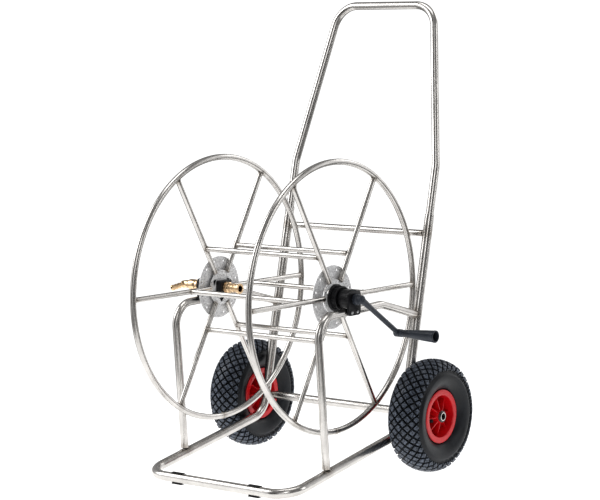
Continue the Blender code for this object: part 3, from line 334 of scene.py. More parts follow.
def skin(stations, sides, closed=False, capped=True):
    """A mesh over round sections. A station is (centre, normal, binormal, radius)."""
    bm = bmesh.new()
    uv = bm.loops.layers.uv.new("along")
    rings, distances = [], []
    distance = 0.0
    turns = [math.tau * j / sides for j in range(sides)]
    for k, (centre, normal, binormal, radius) in enumerate(stations):
        if k:
            distance += max((centre - stations[k - 1][0]).length, abs(radius - stations[k - 1][3]))
        distances.append(distance)
        if radius < 1e-6:
            rings.append([bm.verts.new(centre)])
        else:
            rings.append([bm.verts.new(centre + radius * (normal * math.cos(a) + binormal * math.sin(a)))
                          for a in turns])
    pairs = list(zip(range(len(rings)), range(1, len(rings))))
    if closed:
        pairs.append((len(rings) - 1, 0))
    for a, b in pairs:
        low, high = rings[a], rings[b]
        if len(low) == 1 and len(high) == 1:
            continue
        for j in range(sides):
            i = (j + 1) % sides
            corners = [(low[j % len(low)], j, distances[a]), (low[i % len(low)], j + 1, distances[a]),
                       (high[i % len(high)], j + 1, distances[b]), (high[j % len(high)], j, distances[b])]
            kept = [c for n, c in enumerate(corners) if c[0] not in [d[0] for d in corners[:n]]]
            face = bm.faces.new([c[0] for c in kept])
            for loop, (_, turn, along) in zip(face.loops, kept):
                loop[uv].uv = (turn / sides, along)
    if capped and not closed:
        for ring in (rings[0], rings[-1]):
            if len(ring) > 2:
                bm.faces.new(ring)
    return finished_mesh(bm)


def finished_mesh(bm):
    bmesh.ops.recalc_face_normals(bm, faces=bm.faces)
    mesh = bpy.data.meshes.new("surface")
    bm.to_mesh(mesh)
    bm.free()
    smooth(mesh)
    return mesh


def smooth(mesh):
    mesh.shade_smooth()
    mesh.set_sharp_from_angle(angle=SOFT_EDGE)


def turned(profile, steps=TURNED_SIDES, round_edges=0.0006):
    """A shape turned round x from a profile of (x, radius). It is a closed loop unless it starts
    and ends on the axis."""
    closed = profile[0][1] > 0 or profile[-1][1] > 0
    if round_edges:
        profile = filleted(profile, round_edges, closed)
    across, up = Vector((0, 1, 0)), Vector((0, 0, 1))
    return skin([(Vector((x, 0, 0)), up, across, r) for x, r in profile], steps, closed, False)


def tube(points, radius, wall=0.0, sides=TUBE_SIDES, closed=False):
    """A tube along points, open at its ends if it has a wall, and rounded shut if not. The radius
    is one number, or one for each point."""
    radii = radius if isinstance(radius, list) else [radius] * len(points)
    frames = moving_frames(points, closed)
    outside = [(p, n, b, r) for p, (n, b), r in zip(points, frames, radii)]
    if closed:
        return skin(outside, sides, True)
    edge = 0.0003
    inset = []
    for end, inner in ((0, 1), (-1, -2)):
        p, n, b, r = outside[end]
        back = (points[inner] - p).normalized()
        inset.append(((p, n, b, r - edge), (p + back * edge, n, b, r)))
    outside = [*inset[0], *outside[1:-1], inset[1][1], inset[1][0]]
    if not wall:
        return skin(outside, sides)
    inside = [(p, n, b, r - wall) for p, (n, b), r in zip(points, frames, radii)]
    return skin(outside + inside[::-1], sides, True)


def merged(meshes):
    """Several meshes as one."""
    bm = bmesh.new()
    for mesh in meshes:
        bm.from_mesh(mesh)
        bpy.data.meshes.remove(mesh)
    whole = bpy.data.meshes.new("surface")
    bm.to_mesh(whole)
    bm.free()
    smooth(whole)
    return whole


def moved(mesh, offset=(0, 0, 0), towards=None):
    """The mesh turned so that its x axis points towards a direction, and then moved."""
    turn = Matrix.Identity(4)
    if towards is not None:
        turn = Vector((1, 0, 0)).rotation_difference(Vector(towards)).to_matrix().to_4x4()
    mesh.transform(Matrix.Translation(offset) @ turn)
    return mesh


def solved(mesh, tool, operation):
    """One mesh cut from, or joined to, another."""
    holders = [bpy.data.objects.new("solve", m) for m in (mesh, tool)]
    for holder in holders:
        bpy.context.scene.collection.objects.link(holder)
    modifier = holders[0].modifiers.new("solve", "BOOLEAN")
    modifier.operation = operation
    modifier.object = holders[1]
    graph = bpy.context.evaluated_depsgraph_get()
    result = bpy.data.meshes.new_from_object(holders[0].evaluated_get(graph))
    for holder in holders:
        bpy.data.objects.remove(holder)
    smooth(result)
    return result


def plate(outlines, thickness, start, edge=0.0004):
    """Closed outlines in (y, z), the first outside and the rest holes, as a sheet across x with
    soft edges, from start towards +x."""
    curve = bpy.data.curves.new("outline", "CURVE")
    curve.dimensions = "2D"
    curve.fill_mode = "BOTH"
    curve.extrude = thickness / 2 - edge
    curve.bevel_depth = edge
    curve.bevel_resolution = 2
    curve.offset = -edge
    for outline in outlines:
        spline = curve.splines.new("POLY")
        spline.points.add(len(outline) - 1)
        spline.use_cyclic_u = True
        for point, (y, z) in zip(spline.points, outline):
            point.co = (y, z, 0, 1)
    holder = bpy.data.objects.new("outline", curve)
    bm = bmesh.new()
    bm.from_mesh(bpy.data.meshes.new_from_object(holder))
    bpy.data.objects.remove(holder)
    bmesh.ops.remove_doubles(bm, verts=bm.verts, dist=1e-6)
    onto_yz = Matrix(((0, 0, 1), (1, 0, 0), (0, 1, 0))).to_4x4()
    bm.transform(Matrix.Translation((start + thickness / 2, 0, 0)) @ onto_yz)
    return finished_mesh(bm)


def circle(radius, count, y=0.0, z=0.0):
    return [(y + radius * math.cos(math.tau * k / count), z + radius * math.sin(math.tau * k / count))
            for k in range(count)]


def rounded_box(y_low, y_high, z_low, z_high, corner, steps=8):
    outline = []
    for k, (y, z) in enumerate(((y_high, z_high), (y_low, z_high), (y_low, z_low), (y_high, z_low))):
        centre_y = y - math.copysign(corner, y - (y_low + y_high) / 2)
        centre_z = z - math.copysign(corner, z - (z_low + z_high) / 2)
        for j in range(steps + 1):
            turn = math.pi / 2 * (k + j / steps)
            outline.append((centre_y + corner * math.cos(turn), centre_z + corner * math.sin(turn)))
    return outline


def on_circle(radius, turn, x=0.0):
    return Vector((x, radius * math.cos(turn), radius * math.sin(turn)))


# Pieces and welds

def add_piece(name, mesh, finish, body, nodes, place=(0, 0, 0)):
    """A piece in the cart's axes, which rides on a body and stands for CAD nodes."""
    mesh.materials.clear()
    mesh.materials.append(bpy.data.materials[finish + FINISH])
    piece = bpy.data.objects.new(name, mesh)
    piece.location = ORIGIN + Vector(place)
    bpy.context.scene.collection.objects.link(piece)
    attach(piece, body)
    if nodes:
        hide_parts(*nodes)
    return piece


def stain(mesh, spots, reach):
    """Darkens a tube's metal round its welds, in the "weld_heat" attribute."""
    heat = mesh.attributes.new("weld_heat", "FLOAT", "POINT")
    for vertex, value in zip(mesh.vertices, heat.data):
        nearest = min((vertex.co - spot).length for spot in spots)
        value.value = math.exp(-((nearest / reach) ** 2))


def saddle(foot, direction, radius, axis_point, axis, main_radius, count=48):
    """Points where a round branch, from foot along a direction, leaves a round main tube."""
    direction, axis = direction.normalized(), axis.normalized()
    u = direction.orthogonal().normalized()
    v = direction.cross(u)
    points = []
    for k in range(count):
        turn = math.tau * k / count
        start = foot + radius * (u * math.cos(turn) + v * math.sin(turn))
        offset = start - axis_point
        offset -= axis * offset.dot(axis)
        slope = direction - axis * direction.dot(axis)
        a, b = slope.dot(slope), offset.dot(slope)
        c = offset.dot(offset) - main_radius ** 2
        root = max(b * b - a * c, 0.0)
        points.append(start + direction * ((-b + math.sqrt(root)) / a))
    return points


def bead(points, radius):
    """A weld bead along a closed line, with the ripple of its passes."""
    count = len(points)
    radii = [radius * (1 + 0.16 * math.sin(k * 2.1) + 0.08 * math.sin(k * 5.3)) for k in range(count)]
    return tube(points, radii, sides=BEAD_SIDES, closed=True)


def add_welds(name, beads, body, place=(0, 0, 0)):
    add_piece(name, merged(beads), "weld", body, (), place)


# Finishes

FINISH = "_finish"          # after a finish's name, for its material


class Shader:
    """Builds one node material."""

    def __init__(self, name, roughness, metallic=0.0, specular=0.5, coat=0.0):
        self.material = bpy.data.materials.new(name + FINISH)
        self.material.use_nodes = True
        self.tree = self.material.node_tree
        self.base = self.tree.nodes["Principled BSDF"]
        self.base.inputs["Roughness"].default_value = roughness
        self.base.inputs["Metallic"].default_value = metallic
        self.base.inputs["Specular IOR Level"].default_value = specular
        self.base.inputs["Coat Weight"].default_value = coat

    def node(self, kind, **values):
        made = self.tree.nodes.new(kind)
        for key, value in values.items():
            if isinstance(value, bpy.types.NodeSocket):
                self.tree.links.new(value, made.inputs[key.replace("_", " ")])
            elif key.replace("_", " ") in made.inputs:
                made.inputs[key.replace("_", " ")].default_value = value
            else:
                setattr(made, key, value)
        return made

    def place(self, kind, scale):
        """Object or UV coordinates, scaled."""
        where = self.tree.nodes.new("ShaderNodeTexCoord").outputs[kind]
        return self.node("ShaderNodeMapping", Vector=where, Scale=scale).outputs["Vector"]

    def grain(self, size, detail=3.0, rough=0.55, kind="Object", scale=(1, 1, 1)):
        """A noise value from 0 to 1."""
        where = self.place(kind, scale)
        return self.node("ShaderNodeTexNoise", Vector=where, Scale=size, Detail=detail,
                         Roughness=rough).outputs["Fac"]

    def span(self, value, low, high, start=0.3, end=0.7):
        """A value spread over a new range."""
        made = self.node("ShaderNodeMapRange", Value=value)
        for key, number in (("From Min", start), ("From Max", end), ("To Min", low), ("To Max", high)):
            made.inputs[key].default_value = number
        return made.outputs["Result"]

    def blend(self, factor, first, second, mode="MIX"):
        """Two colours mixed by a factor."""
        made = self.node("ShaderNodeMix", data_type="RGBA", blend_type=mode)
        for index, value in ((0, factor), (6, first), (7, second)):
            if isinstance(value, bpy.types.NodeSocket):
                self.tree.links.new(value, made.inputs[index])
            elif index == 0:
                made.inputs[0].default_value = value
            else:
                made.inputs[index].default_value = (*value, 1)
        return made.outputs[2]

    def clouded(self, value, rgb, low, high, start=0.3, end=0.7):
        """A colour that goes from one shade to another with a value."""
        return self.blend(self.span(value, 0.0, 1.0, start, end), shade(rgb, low), shade(rgb, high))

    def set(self, name, source):
        self.tree.links.new(source, self.base.inputs[name])

    def bump(self, height, strength, distance=0.0004):
        made = self.node("ShaderNodeBump", Height=height, Strength=strength, Distance=distance)
        self.set("Normal", made.outputs["Normal"])


def shade(rgb, factor):
    return tuple(min(1.0, channel * factor) for channel in rgb)


def make_steel(colours):
    """Drawn stainless tube: fine lines along it, cloudy tone, and stains beside the welds."""
    s = Shader("steel", 0.26, 1.0)
    lines = s.grain(9.0, 2.0, 0.5, "UV", (3, 0.6, 1))
    cloud = s.grain(22.0, 3.0)
    fine = s.grain(240.0, 2.0)
    metal = s.clouded(cloud, colours.steel, 0.84, 1.1)
    metal = s.blend(s.span(lines, 0.0, 0.40), metal, shade(colours.steel, 0.66))
    heat = s.node("ShaderNodeAttribute", attribute_name="weld_heat").outputs["Fac"]
    ragged = s.node("ShaderNodeMath", operation="MULTIPLY")
    s.tree.links.new(heat, ragged.inputs[0])
    s.tree.links.new(s.span(fine, 0.55, 1.25), ragged.inputs[1])
    tint = s.span(ragged.outputs[0], 0.0, 0.85, 0.08, 0.95)
    s.set("Base Color", s.blend(tint, metal, tuple(colours.weld)))
    s.set("Roughness", s.span(lines, 0.20, 0.29))


def make_weld(colours):
    s = Shader("weld", 0.38, 1.0)
    fine = s.grain(320.0, 3.0)
    s.set("Base Color", s.blend(s.span(fine, 0.0, 1.0), tuple(colours.weld), shade(colours.steel, 0.8)))
    s.set("Roughness", s.span(fine, 0.28, 0.5))
    s.bump(fine, 0.35)


def make_sheet(colours):
    """Matt stainless sheet with a speckled, slightly dented surface."""
    s = Shader("sheet", 0.42, 0.2)
    speckle = s.grain(330.0, 4.0, 0.7)
    cloud = s.grain(150.0, 3.0)
    metal = s.clouded(cloud, colours.sheet, 0.84, 1.12, 0.35, 0.65)
    s.set("Base Color", s.blend(s.span(speckle, 0.0, 0.9, 0.50, 0.64), metal, shade(colours.sheet, 0.30)))
    s.set("Roughness", s.span(speckle, 0.26, 0.46))
    s.bump(cloud, 0.16, 0.0008)


def make_plated(name, rgb):
    s = Shader(name, 0.3, 1.0)
    cloud = s.grain(180.0, 3.0)
    s.set("Base Color", s.clouded(cloud, rgb, 0.8, 1.1))
    s.set("Roughness", s.span(cloud, 0.22, 0.38))
    s.bump(cloud, 0.08, 0.0002)


def make_plastic(name, rgb, roughness, specular):
    """Moulded plastic with a spark-eroded grain and slight scuffs."""
    s = Shader(name, roughness, 0.0, specular)
    grain = s.grain(900.0, 2.0)
    cloud = s.grain(45.0, 4.0)
    s.set("Base Color", s.clouded(cloud, rgb, 0.8, 1.5))
    s.set("Roughness", s.span(cloud, roughness - 0.06, roughness + 0.1))
    s.bump(grain, 0.22, 0.0002)


def make_brass(colours):
    s = Shader("brass", 0.2, 1.0)
    cloud = s.grain(90.0, 3.0)
    turning = s.grain(4.0, 2.0, kind="UV", scale=(0.4, 900, 1))
    s.set("Base Color", s.clouded(cloud, colours.brass, 0.78, 1.1))
    s.set("Roughness", s.span(cloud, 0.10, 0.22))
    s.bump(turning, 0.06, 0.0001)


def make_tyre_rubber(colours):
    """Dusty tyre rubber, with the tops of the tread blocks painted much lighter: partly wear, mostly a
    painted highlight and sparkle.
    """
    s = Shader("tyre", 0.5, 0.0, 0.35)
    dust = s.grain(38.0, 5.0, 0.65)
    grain = s.grain(260.0, 4.0, 0.75)
    worn_and_highlit_tops = s.node("ShaderNodeAttribute", attribute_name="tread").outputs["Fac"]
    rubber = s.clouded(dust, colours.tyre, 0.6, 1.8)
    # Painted highlight: the blocks' tops go up to 26 times the rubber's colour, a painted sparkle and sheen,
    # with some real wear
    faces = s.clouded(grain, colours.tyre, 1.6, 26.0, 0.4, 0.72)
    s.set("Base Color", s.blend(s.span(worn_and_highlit_tops, 0.0, 0.9, 0.5, 1.0), rubber, faces))
    s.set("Roughness", s.span(dust, 0.28, 0.50))
    s.bump(grain, 0.3, 0.0004)


def make_rim_red(colours):
    s = Shader("rim", 0.34, 0.0, 0.5, 0.15)
    cloud = s.grain(30.0, 3.0)
    grain = s.grain(600.0, 2.0)
    s.set("Base Color", s.clouded(cloud, colours.rim, 0.86, 1.12))
    s.set("Roughness", s.span(cloud, 0.28, 0.42))
    s.bump(grain, 0.12, 0.0002)


class REELCART_OT_finishes(Operator):
    """Make the materials of all finishes"""

    bl_idname = "reelcart.finishes"
    bl_label = "Finishes"

    def execute(self, context):
        colours = context.scene.reelcart_colours
        make_steel(colours)
        make_weld(colours)
        make_sheet(colours)
        for name in ("zinc", "dark_steel"):
            make_plated(name, getattr(colours, name))
        for name, roughness, specular in (("black_plastic", 0.32, 0.4), ("grey_plastic", 0.32, 0.4),
                                          ("rubber", 0.6, 0.35)):
            make_plastic(name, getattr(colours, name), roughness, specular)
        make_brass(colours)
        make_tyre_rubber(colours)
        make_rim_red(colours)
        return {"FINISHED"}


# Frame

def rail_z(sizes, y):
    bar = sizes.frame_radius + GAP + sizes.clip_wall
    return bar + (y - sizes.front_bar_y) * math.tan(sizes.rail_rise)


def upright_y(sizes, z):
    return sizes.upright_y + (z - AXLE_Z) * math.tan(LEAN)


def meet(p, slope_p, q, slope_q):
    """Where two lines in (y, z) cross, each through a point with a slope dz/dy."""
    y = (q[1] - p[1] + slope_p * p[0] - slope_q * q[0]) / (slope_p - slope_q)
    return y, p[1] + slope_p * (y - p[0])


def side_tube_corners(sizes):
    """The foot, the two bends and the rear end of a side tube's centre line, in (y, z)."""
    rise = sizes.rail_rise
    lift = sizes.frame_radius + sizes.side_radius * math.tan(rise) + GAP
    foot = (sizes.side_foot_y, rail_z(sizes, sizes.side_foot_y) + lift / math.cos(rise))
    slope = math.tan(sizes.side_rise)
    knee = meet(foot, -1 / math.tan(sizes.side_lean), (0, sizes.side_top), slope)
    fall = (sizes.side_fall_y, sizes.side_top + sizes.side_fall_y * slope)
    upright = (sizes.upright_y, AXLE_Z)
    weld = meet(fall, -math.tan(sizes.side_fall), upright, 1 / math.tan(LEAN))
    off_square = sizes.side_fall - LEAN
    beside = sizes.frame_radius + GAP + sizes.side_radius * abs(math.sin(off_square))
    stop = beside / math.cos(off_square)
    end = (weld[0] - stop * math.cos(sizes.side_fall), weld[1] + stop * math.sin(sizes.side_fall))
    return [Vector((0, *point)) for point in (foot, knee, fall, end)]


class REELCART_OT_base_frame(Operator):
    """Make the bent base and upright tube, the rear cross tube and their welds"""

    bl_idname = "reelcart.base_frame"
    bl_label = "Base Frame"

    def execute(self, context):
        sizes = context.scene.reelcart_frame
        front = (sizes.front_bar_y, rail_z(sizes, sizes.front_bar_y))
        heel = meet(front, math.tan(sizes.rail_rise), (sizes.upright_y, AXLE_Z), 1 / math.tan(LEAN))
        top = (upright_y(sizes, sizes.joint_height), sizes.joint_height)
        half = [top, heel, front]
        corners = [(-SIDE_X, *p) for p in half] + [(SIDE_X, *p) for p in reversed(half)]
        radii = [sizes.rear_bend_radius, sizes.corner_radius, sizes.corner_radius, sizes.rear_bend_radius]
        path = resampled(rounded_path(corners, radii))
        mesh = tube(path, sizes.frame_radius, sizes.frame_wall)
        foot, _, _, rear = side_tube_corners(sizes)
        spots = []
        for side in SIDES:
            x = side * SIDE_X
            spots += [Vector((x, foot.y, foot.z)), Vector((x, rear.y, rear.z)), Vector((x, AXLE_Y, AXLE_Z)),
                      Vector((x, upright_y(sizes, sizes.cross_height), sizes.cross_height))]
        stain(mesh, spots, FRAME_STAIN)
        add_piece("base_frame", mesh, "steel", "root", ["base_frame_tube"])

        cross_y = upright_y(sizes, sizes.cross_height)
        reach = SIDE_X - sizes.frame_radius - GAP
        ends = [Vector((side * reach, cross_y, sizes.cross_height)) for side in SIDES]
        mesh = tube(resampled(ends), sizes.cross_radius, sizes.frame_wall)
        stain(mesh, ends, CROSS_STAIN)
        add_piece("cross_tube", mesh, "steel", "root", ["rear_cross_tube"])
        self.add_frame_welds(sizes, foot, rear, cross_y)
        return {"FINISHED"}

    def add_frame_welds(self, sizes, foot, rear, cross_y):
        rail = Vector((0, math.cos(sizes.rail_rise), math.sin(sizes.rail_rise)))
        leg = Vector((0, -math.sin(sizes.side_lean), math.cos(sizes.side_lean)))
        slope = Vector((0, -math.cos(sizes.side_fall), math.sin(sizes.side_fall)))
        upright = Vector((0, sizes.upright_y, AXLE_Z))
        beads = []
        for side in SIDES:
            x = Vector((side * SIDE_X, 0, 0))
            on_rail = Vector((0, foot.y, rail_z(sizes, foot.y)))
            joints = [(foot + x, leg, sizes.side_radius, on_rail + x, rail, sizes.frame_radius),
                      (rear + x, slope, sizes.side_radius, upright + x, ALONG_LEGS, sizes.frame_radius),
                      (Vector((side * SIDE_X, cross_y, sizes.cross_height)), -side * ACROSS,
                       sizes.cross_radius, upright + x, ALONG_LEGS, sizes.frame_radius)]
            beads += [bead(saddle(*joint), sizes.weld_radius) for joint in joints]
            square = ALONG_LEGS.cross(ACROSS).normalized()
            for end in SIDES:
                middle = upright + x - square * sizes.frame_radius
                run = middle + ACROSS * end * sizes.frame_radius * AXLE_BEAD_OUT
                half, back = ALONG_LEGS * AXLE_BEAD_HALF, Vector((0, BEAD_SPACING, 0))
                span = [run - half + back, run, run + half + back]
                beads.append(tube(resampled(span, BEAD_SPACING), sizes.weld_radius, sides=BEAD_SIDES))
        add_welds("frame_welds", beads, "root")


class REELCART_OT_side_tubes(Operator):
    """Make the two side tubes that carry the drum's bearings"""

    bl_idname = "reelcart.side_tubes"
    bl_label = "Side Tubes"

    def execute(self, context):
        sizes = context.scene.reelcart_frame
        corners = side_tube_corners(sizes)
        bends = [sizes.side_bend_radius] * 2
        for side, word in SIDES.items():
            path = resampled(rounded_path(corners, bends))
            mesh = tube(path, sizes.side_radius, sizes.frame_wall)
            stain(mesh, [corners[0], corners[-1]], SIDE_STAIN)
            add_piece(f"{word}_side_rail", mesh, "steel", "root", [f"{word}_side_tube"],
                      (side * SIDE_X, 0, 0))
        return {"FINISHED"}


class REELCART_OT_foot_clips(Operator):
    """Make the two clips on which the front bar stands"""

    bl_idname = "reelcart.foot_clips"
    bl_label = "Foot Clips"

    def execute(self, context):
        sizes = context.scene.reelcart_frame
        inner = sizes.frame_radius + GAP
        outer = inner + sizes.clip_wall
        lip = math.radians(110)
        sole = 0.006

        def arc(radius, start, end, steps):
            turns = [start + (end - start) * k / steps for k in range(steps + 1)]
            return [(radius * math.cos(a), radius * math.sin(a)) for a in turns]

        lip_end = [(outer * 0.94 * math.cos(lip + 0.09), outer * 0.94 * math.sin(lip + 0.09))]
        outline = [(-sole, -outer), (sole, -outer)] + arc(outer, -math.pi / 4, lip, 30) + lip_end
        outline += arc(inner, lip, -lip, 40)
        for side, word in SIDES.items():
            mesh = plate([outline], sizes.clip_length, -sizes.clip_length / 2, 0.0005)
            add_piece(f"{word}_foot", mesh, "rubber", "root", [f"{word}_foot_clip"],
                      (side * CLIP_X, sizes.front_bar_y, outer))
        return {"FINISHED"}


class REELCART_OT_handle(Operator):
    """Make the plug-in handle"""

    bl_idname = "reelcart.handle"
    bl_label = "Handle"

    def execute(self, context):
        sizes = context.scene.reelcart_frame
        joint = Vector((-SIDE_X, upright_y(sizes, sizes.joint_height), sizes.joint_height))
        knee_y = upright_y(sizes, sizes.knee_height)
        top_z = HANDLE_TOP - sizes.handle_radius
        top_y = knee_y + (top_z - sizes.knee_height) * math.tan(sizes.handle_lean)
        shoulder = joint + ALONG_LEGS * GAP
        knee = Vector((-SIDE_X, knee_y, sizes.knee_height))
        half = [shoulder, knee, Vector((-sizes.handle_top_x, top_y, top_z))]
        mirrored = [Vector((-p.x, p.y, p.z)) for p in reversed(half)]
        bends = [sizes.knee_radius, sizes.grip_corner_radius, sizes.grip_corner_radius, sizes.knee_radius]
        path = resampled(rounded_path(half + mirrored, bends), 0.008)
        swage = sizes.handle_radius - sizes.plug_radius
        plug = resampled([joint - ALONG_LEGS * sizes.plug_length, shoulder - ALONG_LEGS * swage], 0.02)
        other = [Vector((-p.x, p.y, p.z)) for p in reversed(plug)]
        radii = [sizes.plug_radius] * len(plug) + [sizes.handle_radius] * len(path)
        radii += [sizes.plug_radius] * len(other)
        mesh = tube(plug + path + other, radii, sizes.frame_wall)
        add_piece("handle", mesh, "steel", "handle", ["handle_tube"])
        return {"FINISHED"}


# Wheels

def smooth_curve(points, per_run):
    """A smooth line through points, as a Catmull-Rom spline."""
    points = [Vector(p) for p in points]
    ends = [points[0] * 2 - points[1], *points, points[-1] * 2 - points[-2]]
    line = []
    for p0, p1, p2, p3 in zip(ends, ends[1:], ends[2:], ends[3:]):
        for k in range(per_run):
            t = k / per_run
            line.append(0.5 * (p1 * 2 + (p2 - p0) * t + (p0 * 2 - p1 * 5 + p2 * 4 - p3) * t ** 2
                               + (p1 * 3 - p0 - p2 * 3 + p3) * t ** 3))
    line.append(points[-1])
    return line


def ramp(value, low, high):
    t = min(max((value - low) / (high - low), 0.0), 1.0)
    return t * t * (3 - 2 * t)


def tyre_section(sizes):
    """The tyre's outer line from one bead to the other, in (x, r), at the tread's full height."""
    half, top = sizes.tyre_width / 2, sizes.tyre_radius
    bead_x = sizes.rim_width / 2 - 2 * sizes.rim_wall - GAP
    foot = sizes.rim_radius + GAP
    wall = top - foot
    shape = ((0.0, 0.0), (0.16, 0.02), (0.42, 0.075), (0.72, 0.18), (0.93, 0.33), (1.0, 0.50), (0.93, 0.68))
    side = [(bead_x + (half - bead_x) * out, foot + wall * up) for out, up in shape]
    side += [(half * out, foot + wall * up) for out, up in ((0.80, 0.865), (0.54, 0.945), (0.27, 0.988))]
    return side + [(0.0, top)] + [(-x, r) for x, r in reversed(side)]


TREAD_STEPS = 18                 # round the tyre, for each block
TREAD_HALF = 0.054               # half the tread's width, along the tyre's surface
TREAD_FADE = 0.004               # over which the blocks sink at the tread's edge
SIDE_RISE = 0.010                # over which the sidewall comes up beside the tread
GROOVE, BLOCK = 0.070, 0.125     # where a block's flank starts and ends, by the pitch
TREAD_CASING = 0.007             # under the tread, grooves and all
TYRE_BEAD, TYRE_BEAD_RISE = 0.006, 0.004
TYRE_INSIDE = ((0.034, 0.088), (0.020, 0.118))


def make_tyre(sizes):
    """The tyre with diamond-shaped tread blocks that run over its shoulders."""
    line = smooth_curve(tyre_section(sizes), 10)
    steps = sizes.tread_count * TREAD_STEPS
    along = [0.0]
    for a, b in zip(line, line[1:]):
        along.append(along[-1] + (b - a).length)
    middle = along[-1] / 2
    normals = []
    for k, point in enumerate(line):
        tangent = line[min(k + 1, len(line) - 1)] - line[max(k - 1, 0)]
        normals.append(Vector((tangent.y, -tangent.x)).normalized())
    if normals[len(normals) // 2].y < 0:
        normals = [-n for n in normals]
    bm = bmesh.new()
    tread_layer = bm.verts.layers.float.new("tread")
    rows = []
    for k, (point, normal) in enumerate(zip(line, normals)):
        across = (along[k] - middle) / sizes.tread_rows
        out = abs(along[k] - middle)
        shoulder = 1 - ramp(out, TREAD_HALF - TREAD_FADE, TREAD_HALF)
        row = []
        for j in range(steps):
            turn = math.tau * j / steps
            round_ = sizes.tread_count * j / steps
            a, b = (round_ + across) % 1.0, (round_ - across) % 1.0
            edge = min(a, 1 - a, b, 1 - b)
            block = ramp(edge, GROOVE, BLOCK) * shoulder
            height = sizes.tread_depth * (block - 1)
            if shoulder == 0:
                height = -sizes.tread_depth * (1 - ramp(out, TREAD_HALF, TREAD_HALF + SIDE_RISE))
            x, r = point.x + normal.x * height, point.y + normal.y * height
            vert = bm.verts.new(on_circle(r, turn, x))
            # The block's height, which the tyre finish uses to paint the blocks' tops lighter, as a painted
            # highlight
            vert[tread_layer] = block
            row.append(vert)
        rows.append(row)
    foot, bead_x = sizes.rim_seat_radius + GAP, line[0].x
    heel_x = bead_x - TYRE_BEAD
    half = [(bead_x, foot), (heel_x, foot), (heel_x, sizes.rim_radius + TYRE_BEAD_RISE), *TYRE_INSIDE]
    inside = [(-x, r) for x, r in half] + [(0, sizes.tyre_radius - TREAD_CASING)] + half[::-1]
    for x, r in inside:
        rows.append([bm.verts.new(on_circle(r, math.tau * j / steps, x)) for j in range(steps)])
    for low, high in zip(rows, rows[1:] + rows[:1]):
        for j in range(steps):
            i = (j + 1) % steps
            bm.faces.new((low[j], low[i], high[i], high[j]))
    return finished_mesh(bm)


BUSH_WALL = 0.0022


def make_rim(sizes):
    """The ribbed rim, with a dished web, a hub and the broad lips that hold the tyre."""
    edge, wall = sizes.rim_width / 2, sizes.rim_wall
    bore = sizes.axle_radius + GAP + BUSH_WALL + GAP
    seat_in, seat = edge - 2 * wall, sizes.rim_seat_radius
    inside = seat - wall
    hub, lip = sizes.rim_hub_radius, sizes.rim_radius
    half = [(edge - 0.001, bore), (edge - 0.001, hub - 0.001), (wall, hub + 0.001),
            (wall * 0.6, inside - 2 * wall), (2.2 * wall, inside - 0.0012),
            (seat_in - 0.003, inside + 0.0003), (edge - 0.0016, inside + 0.0010),
            (edge - 0.0004, inside + 0.0022), (edge, lip - 0.0030), (edge - 0.0008, lip - 0.0006),
            (edge - 0.0016, lip), (edge - 0.0026, lip), (seat_in + 0.0006, lip - 0.006),
            (seat_in, seat + 0.003), (seat_in, seat)]
    shells = [turned(half + [(-x, r) for x, r in reversed(half)], 96, 0.0011)]
    outline = [(0.001, hub - 0.0015), (edge - 0.004, hub - 0.0012),
               (edge - 0.0145, inside + 0.0012), (0.001, inside + 0.0012)]
    for k in range(sizes.rib_count):
        turn = sizes.rib_angle + math.tau * k / sizes.rib_count
        for side in SIDES:
            rib = plate([[(side * x, r) for x, r in outline]], sizes.rib_thickness, -sizes.rib_thickness / 2)
            rib.transform(Matrix(((0, 1, 0, 0), (1, 0, 0, 0), (0, 0, 1, 0), (0, 0, 0, 1))))
            rib.transform(Matrix.Rotation(turn - math.pi / 2, 4, "X"))
            shells.append(rib)
    return merged(shells)


VALVE_RIDGES = 12
VALVE_TILT = math.radians(60)    # outwards from the wheel's plane


def make_valve(sizes, side):
    """A valve stem with a ridged cap, standing in the rim's dish."""
    r, foot, cap, ridge = sizes.valve_radius, 0.0090, 0.0125, 0.0004
    profile = [(0, 0), (0, r * 1.25), (0.0018, r * 1.25), (0.0030, r * 0.82), (0.0085, r * 0.78),
               (foot, r), (foot + cap, r * 0.94), (foot + cap, 0)]
    shells = [turned(profile, 32, 0.0005)]
    for k in range(VALVE_RIDGES):
        turn = math.tau * k / VALVE_RIDGES
        start = on_circle(r * 0.95, turn, foot + 2 * ridge)
        shells.append(tube([start, start + ACROSS * (cap - 0.002)], ridge, sides=6))
    spoke = Vector((0, math.cos(sizes.valve_angle), math.sin(sizes.valve_angle)))
    direction = ACROSS * side * math.sin(VALVE_TILT) - spoke * math.cos(VALVE_TILT)
    place = spoke * (sizes.rim_seat_radius - 2 * sizes.rim_wall - r)
    place.x = side * (sizes.rim_wall + r)
    return moved(merged(shells), place, direction)


